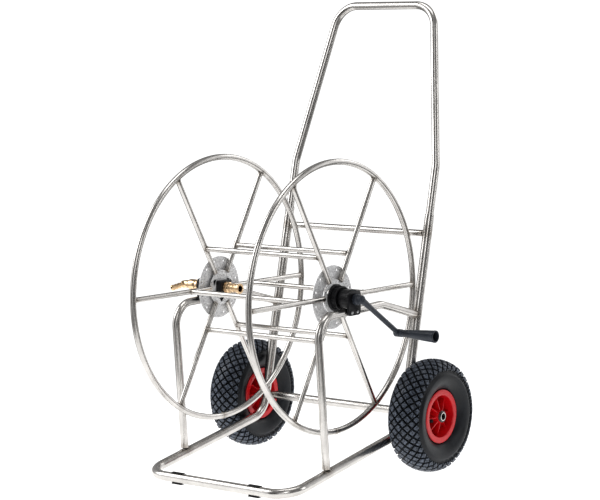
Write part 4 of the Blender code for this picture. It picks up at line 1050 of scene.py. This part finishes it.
class REELCART_OT_wheels(Operator):
    """Make the tyres, rims, valves, bushes, spacers, lock rings and the axle"""

    bl_idname = "reelcart.wheels"
    bl_label = "Wheels"

    def execute(self, context):
        sizes = context.scene.reelcart_wheels
        for side, word in SIDES.items():
            place = (side * WHEEL_X, AXLE_Y, AXLE_Z)
            body = f"{word}_wheel"
            add_piece(f"{word}_tyre_tread", make_tyre(sizes), "tyre", body, [f"{word}_tyre"], place)
            add_piece(f"{word}_ribbed_rim", make_rim(sizes), "rim", body, [f"{word}_rim"], place)
            add_piece(f"{word}_valve", make_valve(sizes, side), "rubber", body, [f"{word}_valve_stem"],
                      place)
            bush = node_high(f"{word}_wheel_bush").x - node_middle(f"{word}_wheel_bush").x
            hole = sizes.axle_radius + GAP
            sleeve = [(-bush, hole), (-bush, hole + BUSH_WALL), (bush, hole + BUSH_WALL), (bush, hole)]
            mesh = turned(sleeve, 48, 0.0004)
            add_piece(f"{word}_bush", mesh, "zinc", body, [f"{word}_wheel_bush"], place)
            self.add_axle_rings(word, hole)
        end = node_high("wheel_axle").x
        axle = [Vector((-end, 0, 0)), Vector((end, 0, 0))]
        mesh = tube(resampled(axle, 0.008), sizes.axle_radius, sizes.axle_radius - sizes.axle_bore)
        stain(mesh, [Vector((side * SIDE_X, 0, 0)) for side in SIDES], SIDE_STAIN)
        add_piece("axle", mesh, "steel", "root", ["wheel_axle"], (0, AXLE_Y, AXLE_Z))
        return {"FINISHED"}

    def add_axle_rings(self, word, hole):
        for node, name, radius, finish in (("wheel_spacer", "spacer", 0.014, "black_plastic"),
                                           ("axle_lock_ring", "lock_ring", 0.0135, "dark_steel")):
            low, high = node_low(f"{word}_{node}").x, node_high(f"{word}_{node}").x
            ring = [(low, hole), (low, radius), (high, radius), (high, hole)]
            if name == "spacer":
                third = (high - low) / 3
                ring = [(low, hole), (low, radius), (low + third, radius), (low + third, radius - 0.0012),
                        (high - third, radius - 0.0012), (high - third, radius), (high, radius), (high, hole)]
            add_piece(f"{word}_{name}", turned(ring, 48, 0.0005), finish, "root", [f"{word}_{node}"],
                      (0, AXLE_Y, AXLE_Z))


# Drum

class REELCART_OT_drum(Operator):
    """Make the rings, spokes and bars of the drum, and their welds"""

    bl_idname = "reelcart.drum"
    bl_label = "Drum"

    def execute(self, context):
        sizes = context.scene.reelcart_drum
        weld = context.scene.reelcart_frame.weld_radius
        turns = [math.tau * k / sizes.spoke_count for k in range(sizes.spoke_count)]
        for side, word in SIDES.items():
            place = (side * FLANGE_X, 0, DRUM_HEIGHT)
            path = [on_circle(sizes.ring_radius, math.tau * k / 240) for k in range(240)]
            mesh = tube(path, sizes.ring_tube, closed=True)
            inner = sizes.ring_radius - sizes.ring_tube
            seam = on_circle(sizes.ring_radius, -math.pi / 2)
            stain(mesh, [on_circle(inner, turn) for turn in turns] + [seam], RING_STAIN)
            add_piece(f"{word}_ring", mesh, "steel", "reel", [f"{word}_flange_ring"], place)
            beads = [bead([seam + Matrix.Rotation(math.tau * k / 24, 3, "Y") @ Vector((sizes.ring_tube, 0, 0))
                           for k in range(24)], weld * 0.55)]
            for k, turn in enumerate(turns):
                radial = on_circle(1, turn)
                start, end = radial * (sizes.plate_radius + GAP), radial * (inner - GAP)
                mesh = tube(resampled([start, end]), sizes.spoke_radius, ROD_WALL, ROD_SIDES)
                bar_spot = radial * sizes.bar_circle - ACROSS * side * sizes.spoke_radius
                stain(mesh, [start, end, bar_spot], ROD_STAIN)
                add_piece(f"{word}_rod_{k + 1}", mesh, "steel", "reel", [f"{word}_spoke_{k + 1}"], place)
                tangent = ACROSS.cross(radial)
                centre = radial * sizes.ring_radius
                r = sizes.spoke_radius
                beads.append(bead(saddle(centre, -radial, r, centre, tangent, sizes.ring_tube), weld))
                foot = bar_spot + ACROSS * side * r
                beads.append(bead(saddle(foot, -side * ACROSS, r, foot, radial, r * 1.02), weld * 0.85))
                beads.append(self.plate_weld(sizes, radial, tangent, weld))
            add_welds(f"{word}_flange_welds", beads, "reel", place)
        self.add_bars(sizes, turns)
        return {"FINISHED"}

    def plate_weld(self, sizes, radial, tangent, weld):
        """The bead that joins a spoke's end to the edge of the hub plate."""
        points = []
        for k in range(20):
            turn = math.tau * k / 20
            across = tangent * math.cos(turn) * sizes.spoke_radius * 0.96
            deep = Vector((math.sin(turn) * sizes.spoke_radius * 0.6, 0, 0))
            points.append(radial * (sizes.plate_radius + 0.0004) + across + deep)
        return bead(points, weld * 1.15)

    def add_bars(self, sizes, turns):
        half = FLANGE_X - sizes.spoke_radius - GAP
        ends = [Vector((-half, 0, 0)), Vector((half, 0, 0))]
        for k, turn in enumerate(turns):
            mesh = tube(resampled(ends), sizes.spoke_radius, ROD_WALL, ROD_SIDES)
            stain(mesh, ends, ROD_STAIN)
            place = on_circle(sizes.bar_circle, turn) + Vector((0, 0, DRUM_HEIGHT))
            add_piece(f"drum_rod_{k + 1}", mesh, "steel", "reel", [f"drum_bar_{k + 1}"], place)


class REELCART_OT_flange_plates(Operator):
    """Make the perforated discs and the windowed hub plates"""

    bl_idname = "reelcart.flange_plates"
    bl_label = "Discs and Hub Plates"

    def execute(self, context):
        sizes = context.scene.reelcart_drum
        windows = []
        for k in range(3):
            turn = math.tau * k / 3 - math.pi / 2
            corners = [(sizes.window_in, sizes.window_width / 2), (sizes.window_out, 0),
                       (sizes.window_in, -sizes.window_width / 2)]
            spin = Matrix.Rotation(turn, 2)
            windows.append([tuple(spin @ Vector(p)) for p in filleted(corners, 0.0042, True, 6)])
        holes = []
        for k in range(sizes.disc_holes):
            centre = on_circle(sizes.hole_circle, math.tau * (k + 0.5) / sizes.disc_holes)
            holes.append(circle(sizes.hole_radius, 24, centre.y, centre.z))
        for side, word in SIDES.items():
            place = (side * FLANGE_X, 0, DRUM_HEIGHT)
            outlines = [circle(sizes.plate_radius, 96), circle(0.0103, 48), *windows]
            mesh = plate(outlines, sizes.plate_thickness, -sizes.plate_thickness / 2, 0.0007)
            add_piece(f"{word}_windowed_plate", mesh, "sheet", "reel", [f"{word}_hub_plate"], place)
            outlines = [circle(sizes.disc_radius, 128), circle(sizes.disc_bore, 96), *holes]
            start = -sizes.spoke_radius - GAP - sizes.disc_thickness
            mesh = plate(outlines, sizes.disc_thickness, start)
            add_piece(f"{word}_perforated_disc", mesh, "sheet", "reel", [f"{word}_flange_disc"], place)
        return {"FINISHED"}


# Hubs and bearings

WATERWAY = 0.006                 # radius of the water's way through the left hub
HUB_CORE = 0.010                 # radius of the hubs' ends inside the plates
HUB_FLANGE, HUB_STEP = 0.0045, 0.0018
HUB_RIBS, HUB_RIB, HUB_RIB_HEIGHT = 26, 0.0010, 0.0012
SEAT_REACH = 0.06                # half the length of the tool that cuts a side tube's seat


def ribs_round(radius, start, end, count, width, height):
    """Small ribs along x, spaced round a barrel."""
    shells = []
    for k in range(count):
        turn = math.tau * k / count
        centre = on_circle(radius, turn)
        rib = tube([Vector((start, 0, 0)), Vector((end, 0, 0))], width, sides=8)
        rib.transform(Matrix.Diagonal((1, 1, height / width, 1)))
        rib.transform(Matrix.Rotation(turn - math.pi / 2, 4, "X"))
        shells.append(moved(rib, centre))
    return shells


class REELCART_OT_hubs(Operator):
    """Make the two hubs between the flanges and the bearings"""

    bl_idname = "reelcart.hubs"
    bl_label = "Hubs"

    def execute(self, context):
        sizes = context.scene.reelcart_hubs
        low, high = node_low("right_hub").x, node_high("right_hub").x
        half_plate = context.scene.reelcart_drum.plate_thickness / 2
        start = FLANGE_X + half_plate + GAP
        wide, ribbed, journal = sizes.flange_radius, sizes.ribbed_radius, sizes.journal_radius
        core = ribbed - 0.0014
        barrel_end = sizes.barrel_inner_x - 0.001
        out = SIDE_X + context.scene.reelcart_frame.side_radius + GAP + sizes.end_plate
        thick, step = HUB_FLANGE, HUB_FLANGE + HUB_STEP
        profile = [(low, 0), (low, HUB_CORE), (start, HUB_CORE), (start, wide), (start + 0.0030, wide),
                   (start + 0.0038, wide - 0.0012), (start + thick, wide - 0.0012),
                   (start + thick, 0.0285), (start + step, 0.0285), (start + step, core),
                   (barrel_end - 0.003, core), (barrel_end - 0.003, ribbed), (barrel_end, ribbed),
                   (barrel_end, ribbed - 0.0035), (barrel_end - 0.004, ribbed - 0.0065),
                   (barrel_end - 0.004, 0.0150), (barrel_end, 0.0150), (barrel_end, journal),
                   (out, journal), (out, 0.008), (high, 0.008), (high, 0)]
        shells = [turned(profile)]
        shells += ribs_round(ribbed - HUB_RIB_HEIGHT, start + step, barrel_end - 0.002, HUB_RIBS,
                             HUB_RIB, HUB_RIB_HEIGHT)
        add_piece("right_hub_flange", merged(shells), "black_plastic", "reel", ["right_hub"], ON_AXIS)

        low, high = node_low("left_hub").x, node_high("left_hub").x
        start = -FLANGE_X - half_plate - GAP
        wide = sizes.left_flange_radius
        nose = low + 0.010
        profile = [(high, WATERWAY), (high, HUB_CORE), (start, HUB_CORE), (start, wide),
                   (start - thick, wide), (start - thick, core),
                   (-barrel_end + 0.003, core), (-barrel_end + 0.003, ribbed),
                   (-barrel_end, ribbed), (-barrel_end, journal), (nose, journal), (nose, 0.011),
                   (low, 0.011), (low, 0.008), (nose, 0.008), (nose, WATERWAY)]
        shells = [turned(profile)]
        shells += ribs_round(ribbed - HUB_RIB_HEIGHT, -barrel_end + 0.002, start - thick, HUB_RIBS,
                             HUB_RIB, HUB_RIB_HEIGHT)
        add_piece("left_hub_flange", merged(shells), "black_plastic", "reel", ["left_hub"], ON_AXIS)
        return {"FINISHED"}


SCREW_DOME, SCREW_SHANK, SCREW_PAST = 0.0026, 0.002, 0.002


class REELCART_OT_bearings(Operator):
    """Make the bearing housings over the side tubes, and their screws"""

    bl_idname = "reelcart.bearings"
    bl_label = "Bearings"

    def execute(self, context):
        sizes = context.scene.reelcart_hubs
        tubes = context.scene.reelcart_frame
        half, bore = sizes.plate_width / 2, sizes.journal_radius + GAP
        inner = SIDE_X + tubes.side_radius + GAP
        slope = math.tan(tubes.side_rise)
        for side, word in SIDES.items():
            outline = rounded_box(-half, half, -sizes.plate_below, sizes.plate_above, sizes.plate_corner)
            start = min(side * inner, side * (inner + sizes.end_plate))
            end_plate = plate([outline, circle(bore, 64)], sizes.end_plate, start, 0.0009)
            radius = sizes.barrel_radius
            barrel = [(side * x, r) for x, r in (
                (sizes.barrel_inner_x, bore), (sizes.barrel_inner_x, radius), (inner - 0.008, radius),
                (inner - 0.0045, radius + 0.0008), (inner + 0.002, radius + 0.0008), (inner + 0.002, bore))]
            ends = [Vector((side * SIDE_X, y, tubes.side_top + y * slope - DRUM_HEIGHT))
                    for y in (-SEAT_REACH, SEAT_REACH)]
            seat = tube(ends, tubes.side_radius + GAP, sides=48)
            body = solved(turned(barrel, 72, 0.0008), seat, "DIFFERENCE")
            shells = [end_plate, body]
            add_piece(f"{word}_bearing", merged(shells), "black_plastic", "root", [f"{word}_bearing_housing"],
                      ON_AXIS)
            self.add_screws(sizes, tubes, side, word, inner + sizes.end_plate)
        return {"FINISHED"}

    def add_screws(self, sizes, tubes, side, word, face):
        head = sizes.screw_head
        for place, y in (("front", -sizes.screw_pitch / 2), ("rear", sizes.screw_pitch / 2)):
            seat = face + GAP
            tip = SIDE_X - tubes.side_radius - SCREW_PAST
            dome = [(seat + SCREW_DOME * math.cos(a), head * math.sin(a)) for a in
                    (math.pi / 2 * k / 8 for k in range(9))]
            profile = [(dome[0][0], 0), *dome[1:], (seat, SCREW_SHANK), (tip + SCREW_SHANK, SCREW_SHANK),
                       (tip, 0.0008), (tip, 0)]
            body = turned(profile, 32, 0.0)
            cross = merged([plate([rounded_box(-a, a, -b, b, 0.0003, 2)], 0.003, seat + 0.0011, 0.0001)
                            for a, b in ((0.0021, 0.0005), (0.0005, 0.0021))])
            screw = solved(body, cross, "DIFFERENCE")
            if side < 0:
                screw.transform(Matrix.Diagonal((-1, 1, 1, 1)))
                screw.flip_normals()
            z = tubes.side_top + y * math.tan(tubes.side_rise)
            add_piece(f"{word}_{place}_screw", screw, "zinc", "root", [f"{word}_bearing_screw_{place}"],
                      (0, y, z))


# Water fittings

class REELCART_OT_outlet(Operator):
    """Make the outlet block and the brass outlet inside the drum"""

    bl_idname = "reelcart.outlet"
    bl_label = "Outlet"

    def execute(self, context):
        sizes = context.scene.reelcart_hubs
        low, high = node_low("outlet_block").x, node_high("outlet_block").x
        width, height = sizes.block_width / 2, sizes.block_height / 2
        outline = rounded_box(-width, width, -height, height, 0.004)
        mesh = plate([outline, circle(0.0103, 48)], high - low, low, 0.0012)
        back, face = high - 0.001, high + 0.0001
        rim = turned([(back, 0.0145), (back, 0.0165), (face, 0.0165), (face, 0.0145)])
        add_piece("water_block", merged([mesh, rim]), "black_plastic", "reel", ["outlet_block"],
                  ON_AXIS)

        start, end = node_low("outlet_connector").x, node_high("outlet_connector").x
        seat = high + GAP
        collar, body, bore = sizes.outlet_collar, sizes.outlet_radius, sizes.outlet_bore
        profile = [(start, 0.006), (start, 0.0097), (seat, 0.0097), (seat, collar)]
        for groove in (0.0025, 0.0060):
            profile += [(seat + groove, collar), (seat + groove + 0.0004, collar - 0.0012),
                        (seat + groove + 0.0014, collar - 0.0012), (seat + groove + 0.0018, collar)]
        flare = body + 0.0014
        profile += [(seat + 0.0105, collar), (seat + 0.0120, body), (end - 0.018, body),
                    (end - 0.0172, body - 0.0008), (end - 0.0156, body - 0.0008), (end - 0.0148, body),
                    (end - 0.0075, body - 0.0004), (end - 0.0060, flare), (end - 0.001, flare),
                    (end, flare - 0.0008), (end, bore + 0.0008), (end - 0.0010, bore),
                    (seat + 0.012, bore), (seat + 0.012, 0.006)]
        add_piece("brass_outlet", turned(profile, 72, 0.0003), "brass", "reel", ["outlet_connector"],
                  ON_AXIS)
        return {"FINISHED"}


SEAL_RADIUS, SEAL_CORD = 0.00675, 0.00095
ELBOW_LENGTH, ELBOW_BEND = 0.030, 0.014     # of the straight body, and the bend's radius
TAIL_BARBS = 3


class REELCART_OT_inlet(Operator):
    """Make the union nut, the brass elbow with its hose tail, and the seal"""

    bl_idname = "reelcart.inlet"
    bl_label = "Inlet"

    def execute(self, context):
        sizes = context.scene.reelcart_hubs
        low, high = node_low("inlet_union_nut").x, node_high("inlet_union_nut").x
        nut = sizes.nut_radius - 0.0006
        profile = [(high, 0.0113), (high, nut - 0.0006), (low + 0.0012, nut - 0.0006), (low, nut - 0.0016),
                   (low, 0.0078), (low + 0.0015, 0.0078), (low + 0.0015, 0.0113)]
        shells = [turned(profile)]
        shells += ribs_round(nut - 0.0006, high - 0.0008, low + 0.0016, 30, 0.0007, 0.0011)
        add_piece("union_nut", merged(shells), "black_plastic", "reel", ["inlet_union_nut"], ON_AXIS)

        seal_low, seal_high = node_low("inlet_seal").x, node_high("inlet_seal").x
        ring = [on_circle(SEAL_RADIUS, math.tau * k / 48) for k in range(48)]
        mesh = tube(ring, SEAL_CORD, sides=12, closed=True)
        add_piece("seal_ring", mesh, "rubber", "inlet", ["inlet_seal"],
                  ((seal_low + seal_high) / 2, 0, DRUM_HEIGHT))
        add_piece("brass_elbow", self.elbow(sizes, low), "brass", "inlet", ["inlet_elbow"], ON_AXIS)
        return {"FINISHED"}

    def elbow(self, sizes, nut_end):
        """The collar held by the nut, the body, the bend and the barbed tail, bored through."""
        body_r, neck, bend_r = sizes.elbow_body, sizes.elbow_neck, ELBOW_BEND
        start = node_high("inlet_elbow").x
        body_start = nut_end - GAP
        body_end = body_start - ELBOW_LENGTH
        corner = body_end - bend_r
        tail = Vector((-math.cos(sizes.elbow_bend), -math.sin(sizes.elbow_bend) * math.cos(sizes.elbow_turn),
                       -math.sin(sizes.elbow_bend) * math.sin(sizes.elbow_turn)))
        bend = Vector((corner, 0, 0))
        tip = bend + tail * (bend_r + sizes.tail_length)
        path = rounded_path([(body_end, 0, 0), bend, tip], [bend_r], math.radians(4))[1:-1]
        straight = [(start, 0.0055), (nut_end + 0.0038, 0.0055), (nut_end + 0.0038, 0.0107),
                    (nut_end + 0.0020, 0.0107), (nut_end + 0.0018, 0.0075), (body_start, 0.0075),
                    (body_start, body_r - 0.0008), (body_start - 0.0012, body_r),
                    (body_start - 0.0062, body_r), (body_start - 0.0070, body_r - 0.0014),
                    (body_start - 0.0090, body_r - 0.0014), (body_start - 0.0098, body_r),
                    (body_end + 0.0040, body_r), (body_end + 0.0014, body_r - 0.0010),
                    (body_end, neck + 0.0008)]
        stations = [(Vector((x, 0, 0)), r) for x, r in filleted(straight, 0.0004, False, 2)]
        stations += [(point, neck) for point in path]
        pitch = sizes.tail_length / (TAIL_BARBS + 1)
        r = sizes.tail_radius
        last = path[-1]
        stations += [(last + tail * 0.0015, neck - 0.0003), (last + tail * 0.0024, r * 0.94)]
        for k in range(1, TAIL_BARBS + 1):
            ridge = last + tail * pitch * k
            stations += [(ridge - tail * 0.0004, r * 0.90), (ridge, r * 1.08),
                         (ridge + tail * 0.0010, r * 1.08), (ridge + tail * pitch * 0.85, r * 0.90)]
        tail_end = stations[-1][0] + tail * 0.0012
        stations += [(tail_end, r * 0.84)]
        bore = sizes.tail_bore
        inner = [(tail_end, bore + 0.0004), (tail_end - tail * 0.0006, bore)]
        inner += [(point, bore) for point in reversed(path)]
        inner += [(Vector((start - 0.0001, 0, 0)), bore)]
        ahead = Vector((0, 1, 0))
        made = []
        for point, radius in stations + inner:
            on_body = point.x > body_end - 1e-6
            tangent = -ACROSS if on_body else self.direction(point, path, tail)
            normal = (ahead - tangent * ahead.dot(tangent)).normalized()
            made.append((point, normal, tangent.cross(normal), radius))
        return skin(made, 48, True)

    def direction(self, point, path, tail):
        """The way the elbow's centre line runs at a point on its bend, or along its tail."""
        nearest = min(range(len(path)), key=lambda k: (path[k] - point).length)
        if nearest == len(path) - 1:
            return tail
        before, after = path[max(nearest - 1, 0)], path[nearest + 1]
        return (after - before).normalized()


# Crank

CRANK_REACH = 0.024              # from the crank's foot to the outside of its arm
SOCKET_RADIUS, SOCKET_DEPTH = 0.0083, 0.0135
BOSS_HALF, PIN_BORE, PIN_HEAD = 0.007, 0.0046, 0.0025


class REELCART_OT_crank(Operator):
    """Make the crank arm, the pin and the turning grip"""

    bl_idname = "reelcart.crank"
    bl_label = "Crank"

    def execute(self, context):
        sizes = context.scene.reelcart_hubs
        start = node_low("crank_arm").x
        eye = GRIP - ORIGIN - Vector(ON_AXIS)
        pin_low, pin_high = node_low("grip_pin").x, node_high("grip_pin").x
        arm_x = start + CRANK_REACH - sizes.arm_radius
        eye.x = arm_x
        hub, neck = sizes.crank_hub, sizes.crank_neck
        dome = [(arm_x + sizes.arm_radius * math.sin(a), neck * math.cos(a) ** 0.6) for a in
                (math.pi / 2 * k / 10 for k in range(1, 10))]
        body = turned([(start, 0), (start, hub), (start + 0.0085, hub), (start + 0.0108, neck),
                       (arm_x, neck), *dome, (arm_x + sizes.arm_radius, 0)])
        along = eye - Vector((arm_x, 0, 0))
        way = along.normalized()
        stations = resampled([Vector((arm_x, 0, 0)), eye], 0.004)
        thick = [sizes.arm_radius * (1.28 - 0.30 * min(1.0, k / 12)) for k in range(len(stations))]
        arm = tube(stations, thick, sides=40)
        arm.transform(Matrix.Translation((arm_x, 0, 0)) @ Matrix.Diagonal((0.92, 1, 1, 1))
                      @ Matrix.Translation((-arm_x, 0, 0)))
        half, wide = BOSS_HALF, sizes.boss_radius
        boss = moved(turned([(-half, 0), (-half, wide), (half, wide), (half, 0)], 48, 0.0014), eye)
        crank = solved(solved(body, arm, "UNION"), boss, "UNION")
        reach = Vector((0.02, 0, 0))
        socket = [Vector((start - 0.004, 0, 0)), Vector((start + SOCKET_DEPTH, 0, 0))]
        bores = merged([tube([eye - reach, eye + reach], PIN_BORE, sides=32),
                        tube(socket, SOCKET_RADIUS, sides=48)])
        crank = solved(crank, bores, "DIFFERENCE")
        add_piece("crank", crank, "grey_plastic", "reel", ["crank_arm"], ON_AXIS)

        place = Vector((0, eye.y, eye.z + DRUM_HEIGHT))
        grip_low, grip_high = node_low("crank_grip").x, node_high("crank_grip").x
        mouth = pin_high - PIN_HEAD - GAP
        inner = pin_low + PIN_HEAD
        pin = [(pin_low, 0), (pin_low, 0.0056), (pin_low + 0.0010, 0.0065), (inner, 0.0065),
               (inner, 0.004), (mouth + GAP, 0.004), (mouth + GAP, 0.0065), (pin_high, 0.0058),
               (pin_high, 0)]
        add_piece("pin", turned(pin, 40, 0.0004), "zinc", "reel", ["grip_pin"], place)

        a, b = sizes.grip_start, sizes.grip_end
        span = grip_high - grip_low
        outside = [(grip_low, a - 0.0006), (grip_low + 0.0015, a), (grip_low + 0.004, a),
                   (grip_low + 0.006, a - 0.0009)]
        outside += [(grip_low + span * t, a - 0.0009 + (b - a + 0.0003) * ramp(t, 0.0, 1.0) ** 0.9)
                    for t in (0.15, 0.3, 0.45, 0.6, 0.75, 0.88)]
        outside += [(grip_high - 0.005, b - 0.0004), (grip_high - 0.004, b), (grip_high, b)]
        inside = [(grip_high, b - 0.003), (mouth, 0.0108), (mouth, 0.0043), (grip_low, 0.0043)]
        add_piece("grip", turned(outside + inside, 72, 0.0007), "grey_plastic", "grip", ["crank_grip"], place)
        return {"FINISHED"}


# Studio

CAMERA_PLACE = (2.9755, -3.7144, 1.0154)     # in the cart's axes
CAMERA_YAW, CAMERA_PITCH, CAMERA_ROLL = 0.66425, -0.104782, -0.0057
CAMERA_LENS, SENSOR_WIDTH, CLIP_END = 126.62, 36.0, 60.0
FLOOR_HALF, FLOOR_DROP, FLOOR_GLOW = 0.85, 0.0005, 0.85
LIGHTS_AIM = (0, 0, 0.45)
LIGHTS = (                       # name, place, size and power
    ("key", (-2.6, -1.6, 2.4), (1.8, 2.4), 44),
    ("fill", (2.4, -3.0, 2.2), (0.9, 2.0), 13),
    ("side", (3.4, 1.2, 1.6), (0.9, 2.4), 15),
    ("back", (0.6, 3.4, 2.6), (2.4, 1.2), 12),
    ("top", (0, 0, 3.6), (2.2, 1.4), 20),
)
WALLS = (                        # position round the room and brightness
    (0.0, 0.35), (0.05, 0.80), (0.15, 0.80), (0.18, 0.05), (0.27, 0.04), (0.295, 0.75),
    (0.33, 0.75), (0.355, 0.05), (0.44, 0.10), (0.47, 0.35), (0.50, 0.02), (0.60, 0.02),
    (0.64, 1.0), (0.75, 1.0), (0.82, 0.30), (1.0, 0.35),
)
WALL_TINT = 1.01                 # the walls' blue against their red and green
FADES = ((0.25, 0.75, 0.22), (-0.12, -0.35, 0.25))     # start, end and grey, upwards and downwards


def add_camera():
    camera = bpy.data.cameras.new("camera")
    camera.lens = CAMERA_LENS
    camera.sensor_width = SENSOR_WIDTH
    camera.clip_end = CLIP_END
    holder = bpy.data.objects.new("camera", camera)
    flat = math.cos(CAMERA_PITCH)
    ahead = Vector((-math.sin(CAMERA_YAW) * flat, math.cos(CAMERA_YAW) * flat, math.sin(CAMERA_PITCH)))
    right = ahead.cross(Vector((0, 0, 1))).normalized()
    up = right.cross(ahead)
    c, s = math.cos(CAMERA_ROLL), math.sin(CAMERA_ROLL)
    axes = Matrix((right * c + up * s, up * c - right * s, -ahead)).transposed().to_4x4()
    holder.matrix_world = Matrix.Translation(ORIGIN + Vector(CAMERA_PLACE)) @ axes
    bpy.context.scene.collection.objects.link(holder)
    bpy.context.scene.camera = holder


def add_light(name, place, size, power):
    light = bpy.data.lights.new(name, "AREA")
    light.shape = "RECTANGLE"
    light.size, light.size_y = size
    light.energy = power
    holder = bpy.data.objects.new(name, light)
    place = Vector(place)
    turn = (Vector(LIGHTS_AIM) - place).to_track_quat("-Z", "Y")
    holder.matrix_world = Matrix.Translation(place) @ turn.to_matrix().to_4x4()
    bpy.context.scene.collection.objects.link(holder)


def mixed(tree, factor, source, grey):
    """A colour mixed with a grey by a factor."""
    mix = tree.nodes.new("ShaderNodeMix")
    mix.data_type = "RGBA"
    tree.links.new(factor, mix.inputs[0])
    tree.links.new(source, mix.inputs[6])
    mix.inputs[7].default_value = (grey, grey, grey, 1)
    return mix.outputs[2]


def add_surroundings():
    """A pale studio with darker walls at the sides, which give the metal its lines."""
    world = bpy.data.worlds.new("studio")
    world.use_nodes = True
    tree = world.node_tree
    background = tree.nodes["Background"]
    where = tree.nodes.new("ShaderNodeTexCoord").outputs["Generated"]
    split = tree.nodes.new("ShaderNodeSeparateXYZ")
    tree.links.new(where, split.inputs[0])
    turn = tree.nodes.new("ShaderNodeMath")
    turn.operation = "ARCTAN2"
    tree.links.new(split.outputs["Y"], turn.inputs[0])
    tree.links.new(split.outputs["X"], turn.inputs[1])
    spread = tree.nodes.new("ShaderNodeMapRange")
    spread.inputs["From Min"].default_value = -math.pi
    spread.inputs["From Max"].default_value = math.pi
    tree.links.new(turn.outputs[0], spread.inputs["Value"])
    bands = tree.nodes.new("ShaderNodeValToRGB")
    bands.color_ramp.interpolation = "EASE"
    stops = bands.color_ramp.elements
    while len(stops) < len(WALLS):
        stops.new(0.5)
    for stop, (position, value) in zip(stops, WALLS):
        stop.position = position
        stop.color = (value, value, value * WALL_TINT, 1)
    tree.links.new(spread.outputs["Result"], bands.inputs["Fac"])
    source = bands.outputs["Color"]
    for start, end, value in FADES:
        height = tree.nodes.new("ShaderNodeMapRange")
        height.inputs["From Min"].default_value = start
        height.inputs["From Max"].default_value = end
        tree.links.new(split.outputs["Z"], height.inputs["Value"])
        source = mixed(tree, height.outputs["Result"], source, value)
    path = tree.nodes.new("ShaderNodeLightPath")
    source = mixed(tree, path.outputs["Is Camera Ray"], source, 1.0)
    tree.links.new(source, background.inputs["Color"])
    background.inputs["Strength"].default_value = 1.0
    bpy.context.scene.world = world


class REELCART_OT_studio(Operator):
    """Make the floor, the surroundings, the lights and the camera"""

    bl_idname = "reelcart.studio"
    bl_label = "Studio"

    def execute(self, context):
        colours = context.scene.reelcart_colours
        bm = bmesh.new()
        bmesh.ops.create_grid(bm, x_segments=8, y_segments=8, size=FLOOR_HALF)
        floor = bpy.data.objects.new("floor", finished_mesh(bm))
        floor.location = (0, 0, -FLOOR_DROP)
        bpy.context.scene.collection.objects.link(floor)
        s = Shader("floor", 0.85, 0.0, 0.2)
        cloud = s.grain(3.0, 2.0)
        s.set("Base Color", s.blend(cloud, shade(colours.floor, 0.99), tuple(colours.floor)))
        s.base.inputs["Emission Color"].default_value = (1, 1, 1, 1)
        s.base.inputs["Emission Strength"].default_value = FLOOR_GLOW
        floor.data.materials.append(s.material)
        add_surroundings()
        for light in LIGHTS:
            add_light(*light)
        add_camera()
        context.scene.view_settings.view_transform = "Standard"
        context.scene.view_settings.look = "Medium High Contrast"
        return {"FINISHED"}


class REELCART_PT_builder(Panel):
    """Sidebar panel with the cart's steps and sizes"""

    bl_idname = "REELCART_PT_builder"
    bl_label = "Hose Reel Cart"
    bl_space_type = "VIEW_3D"
    bl_region_type = "UI"
    bl_category = "Reel Cart"

    def draw(self, context):
        for step in STEPS:
            self.layout.operator(step.bl_idname)
        for name in GROUPS:
            box = self.layout.box()
            group = getattr(context.scene, name)
            for key in group.__annotations__:
                box.prop(group, key)


GROUPS = {
    "reelcart_frame": ReelCartFrameSizes,
    "reelcart_wheels": ReelCartWheelSizes,
    "reelcart_drum": ReelCartDrumSizes,
    "reelcart_hubs": ReelCartHubSizes,
    "reelcart_colours": ReelCartColours,
}
STEPS = (
    REELCART_OT_finishes,
    REELCART_OT_base_frame,
    REELCART_OT_side_tubes,
    REELCART_OT_foot_clips,
    REELCART_OT_handle,
    REELCART_OT_wheels,
    REELCART_OT_drum,
    REELCART_OT_flange_plates,
    REELCART_OT_hubs,
    REELCART_OT_bearings,
    REELCART_OT_outlet,
    REELCART_OT_inlet,
    REELCART_OT_crank,
    REELCART_OT_studio,
)


def register():
    for cls in (*GROUPS.values(), *STEPS, REELCART_PT_builder):
        bpy.utils.register_class(cls)
    for name, group in GROUPS.items():
        setattr(bpy.types.Scene, name, PointerProperty(type=group))


def unregister():
    for name in GROUPS:
        delattr(bpy.types.Scene, name)
    for cls in reversed((*GROUPS.values(), *STEPS, REELCART_PT_builder)):
        bpy.utils.unregister_class(cls)


def main():
    register()
    for step in STEPS:
        family, name = step.bl_idname.split(".")
        getattr(getattr(bpy.ops, family), name)()


if __name__ == "__main__":
    main()
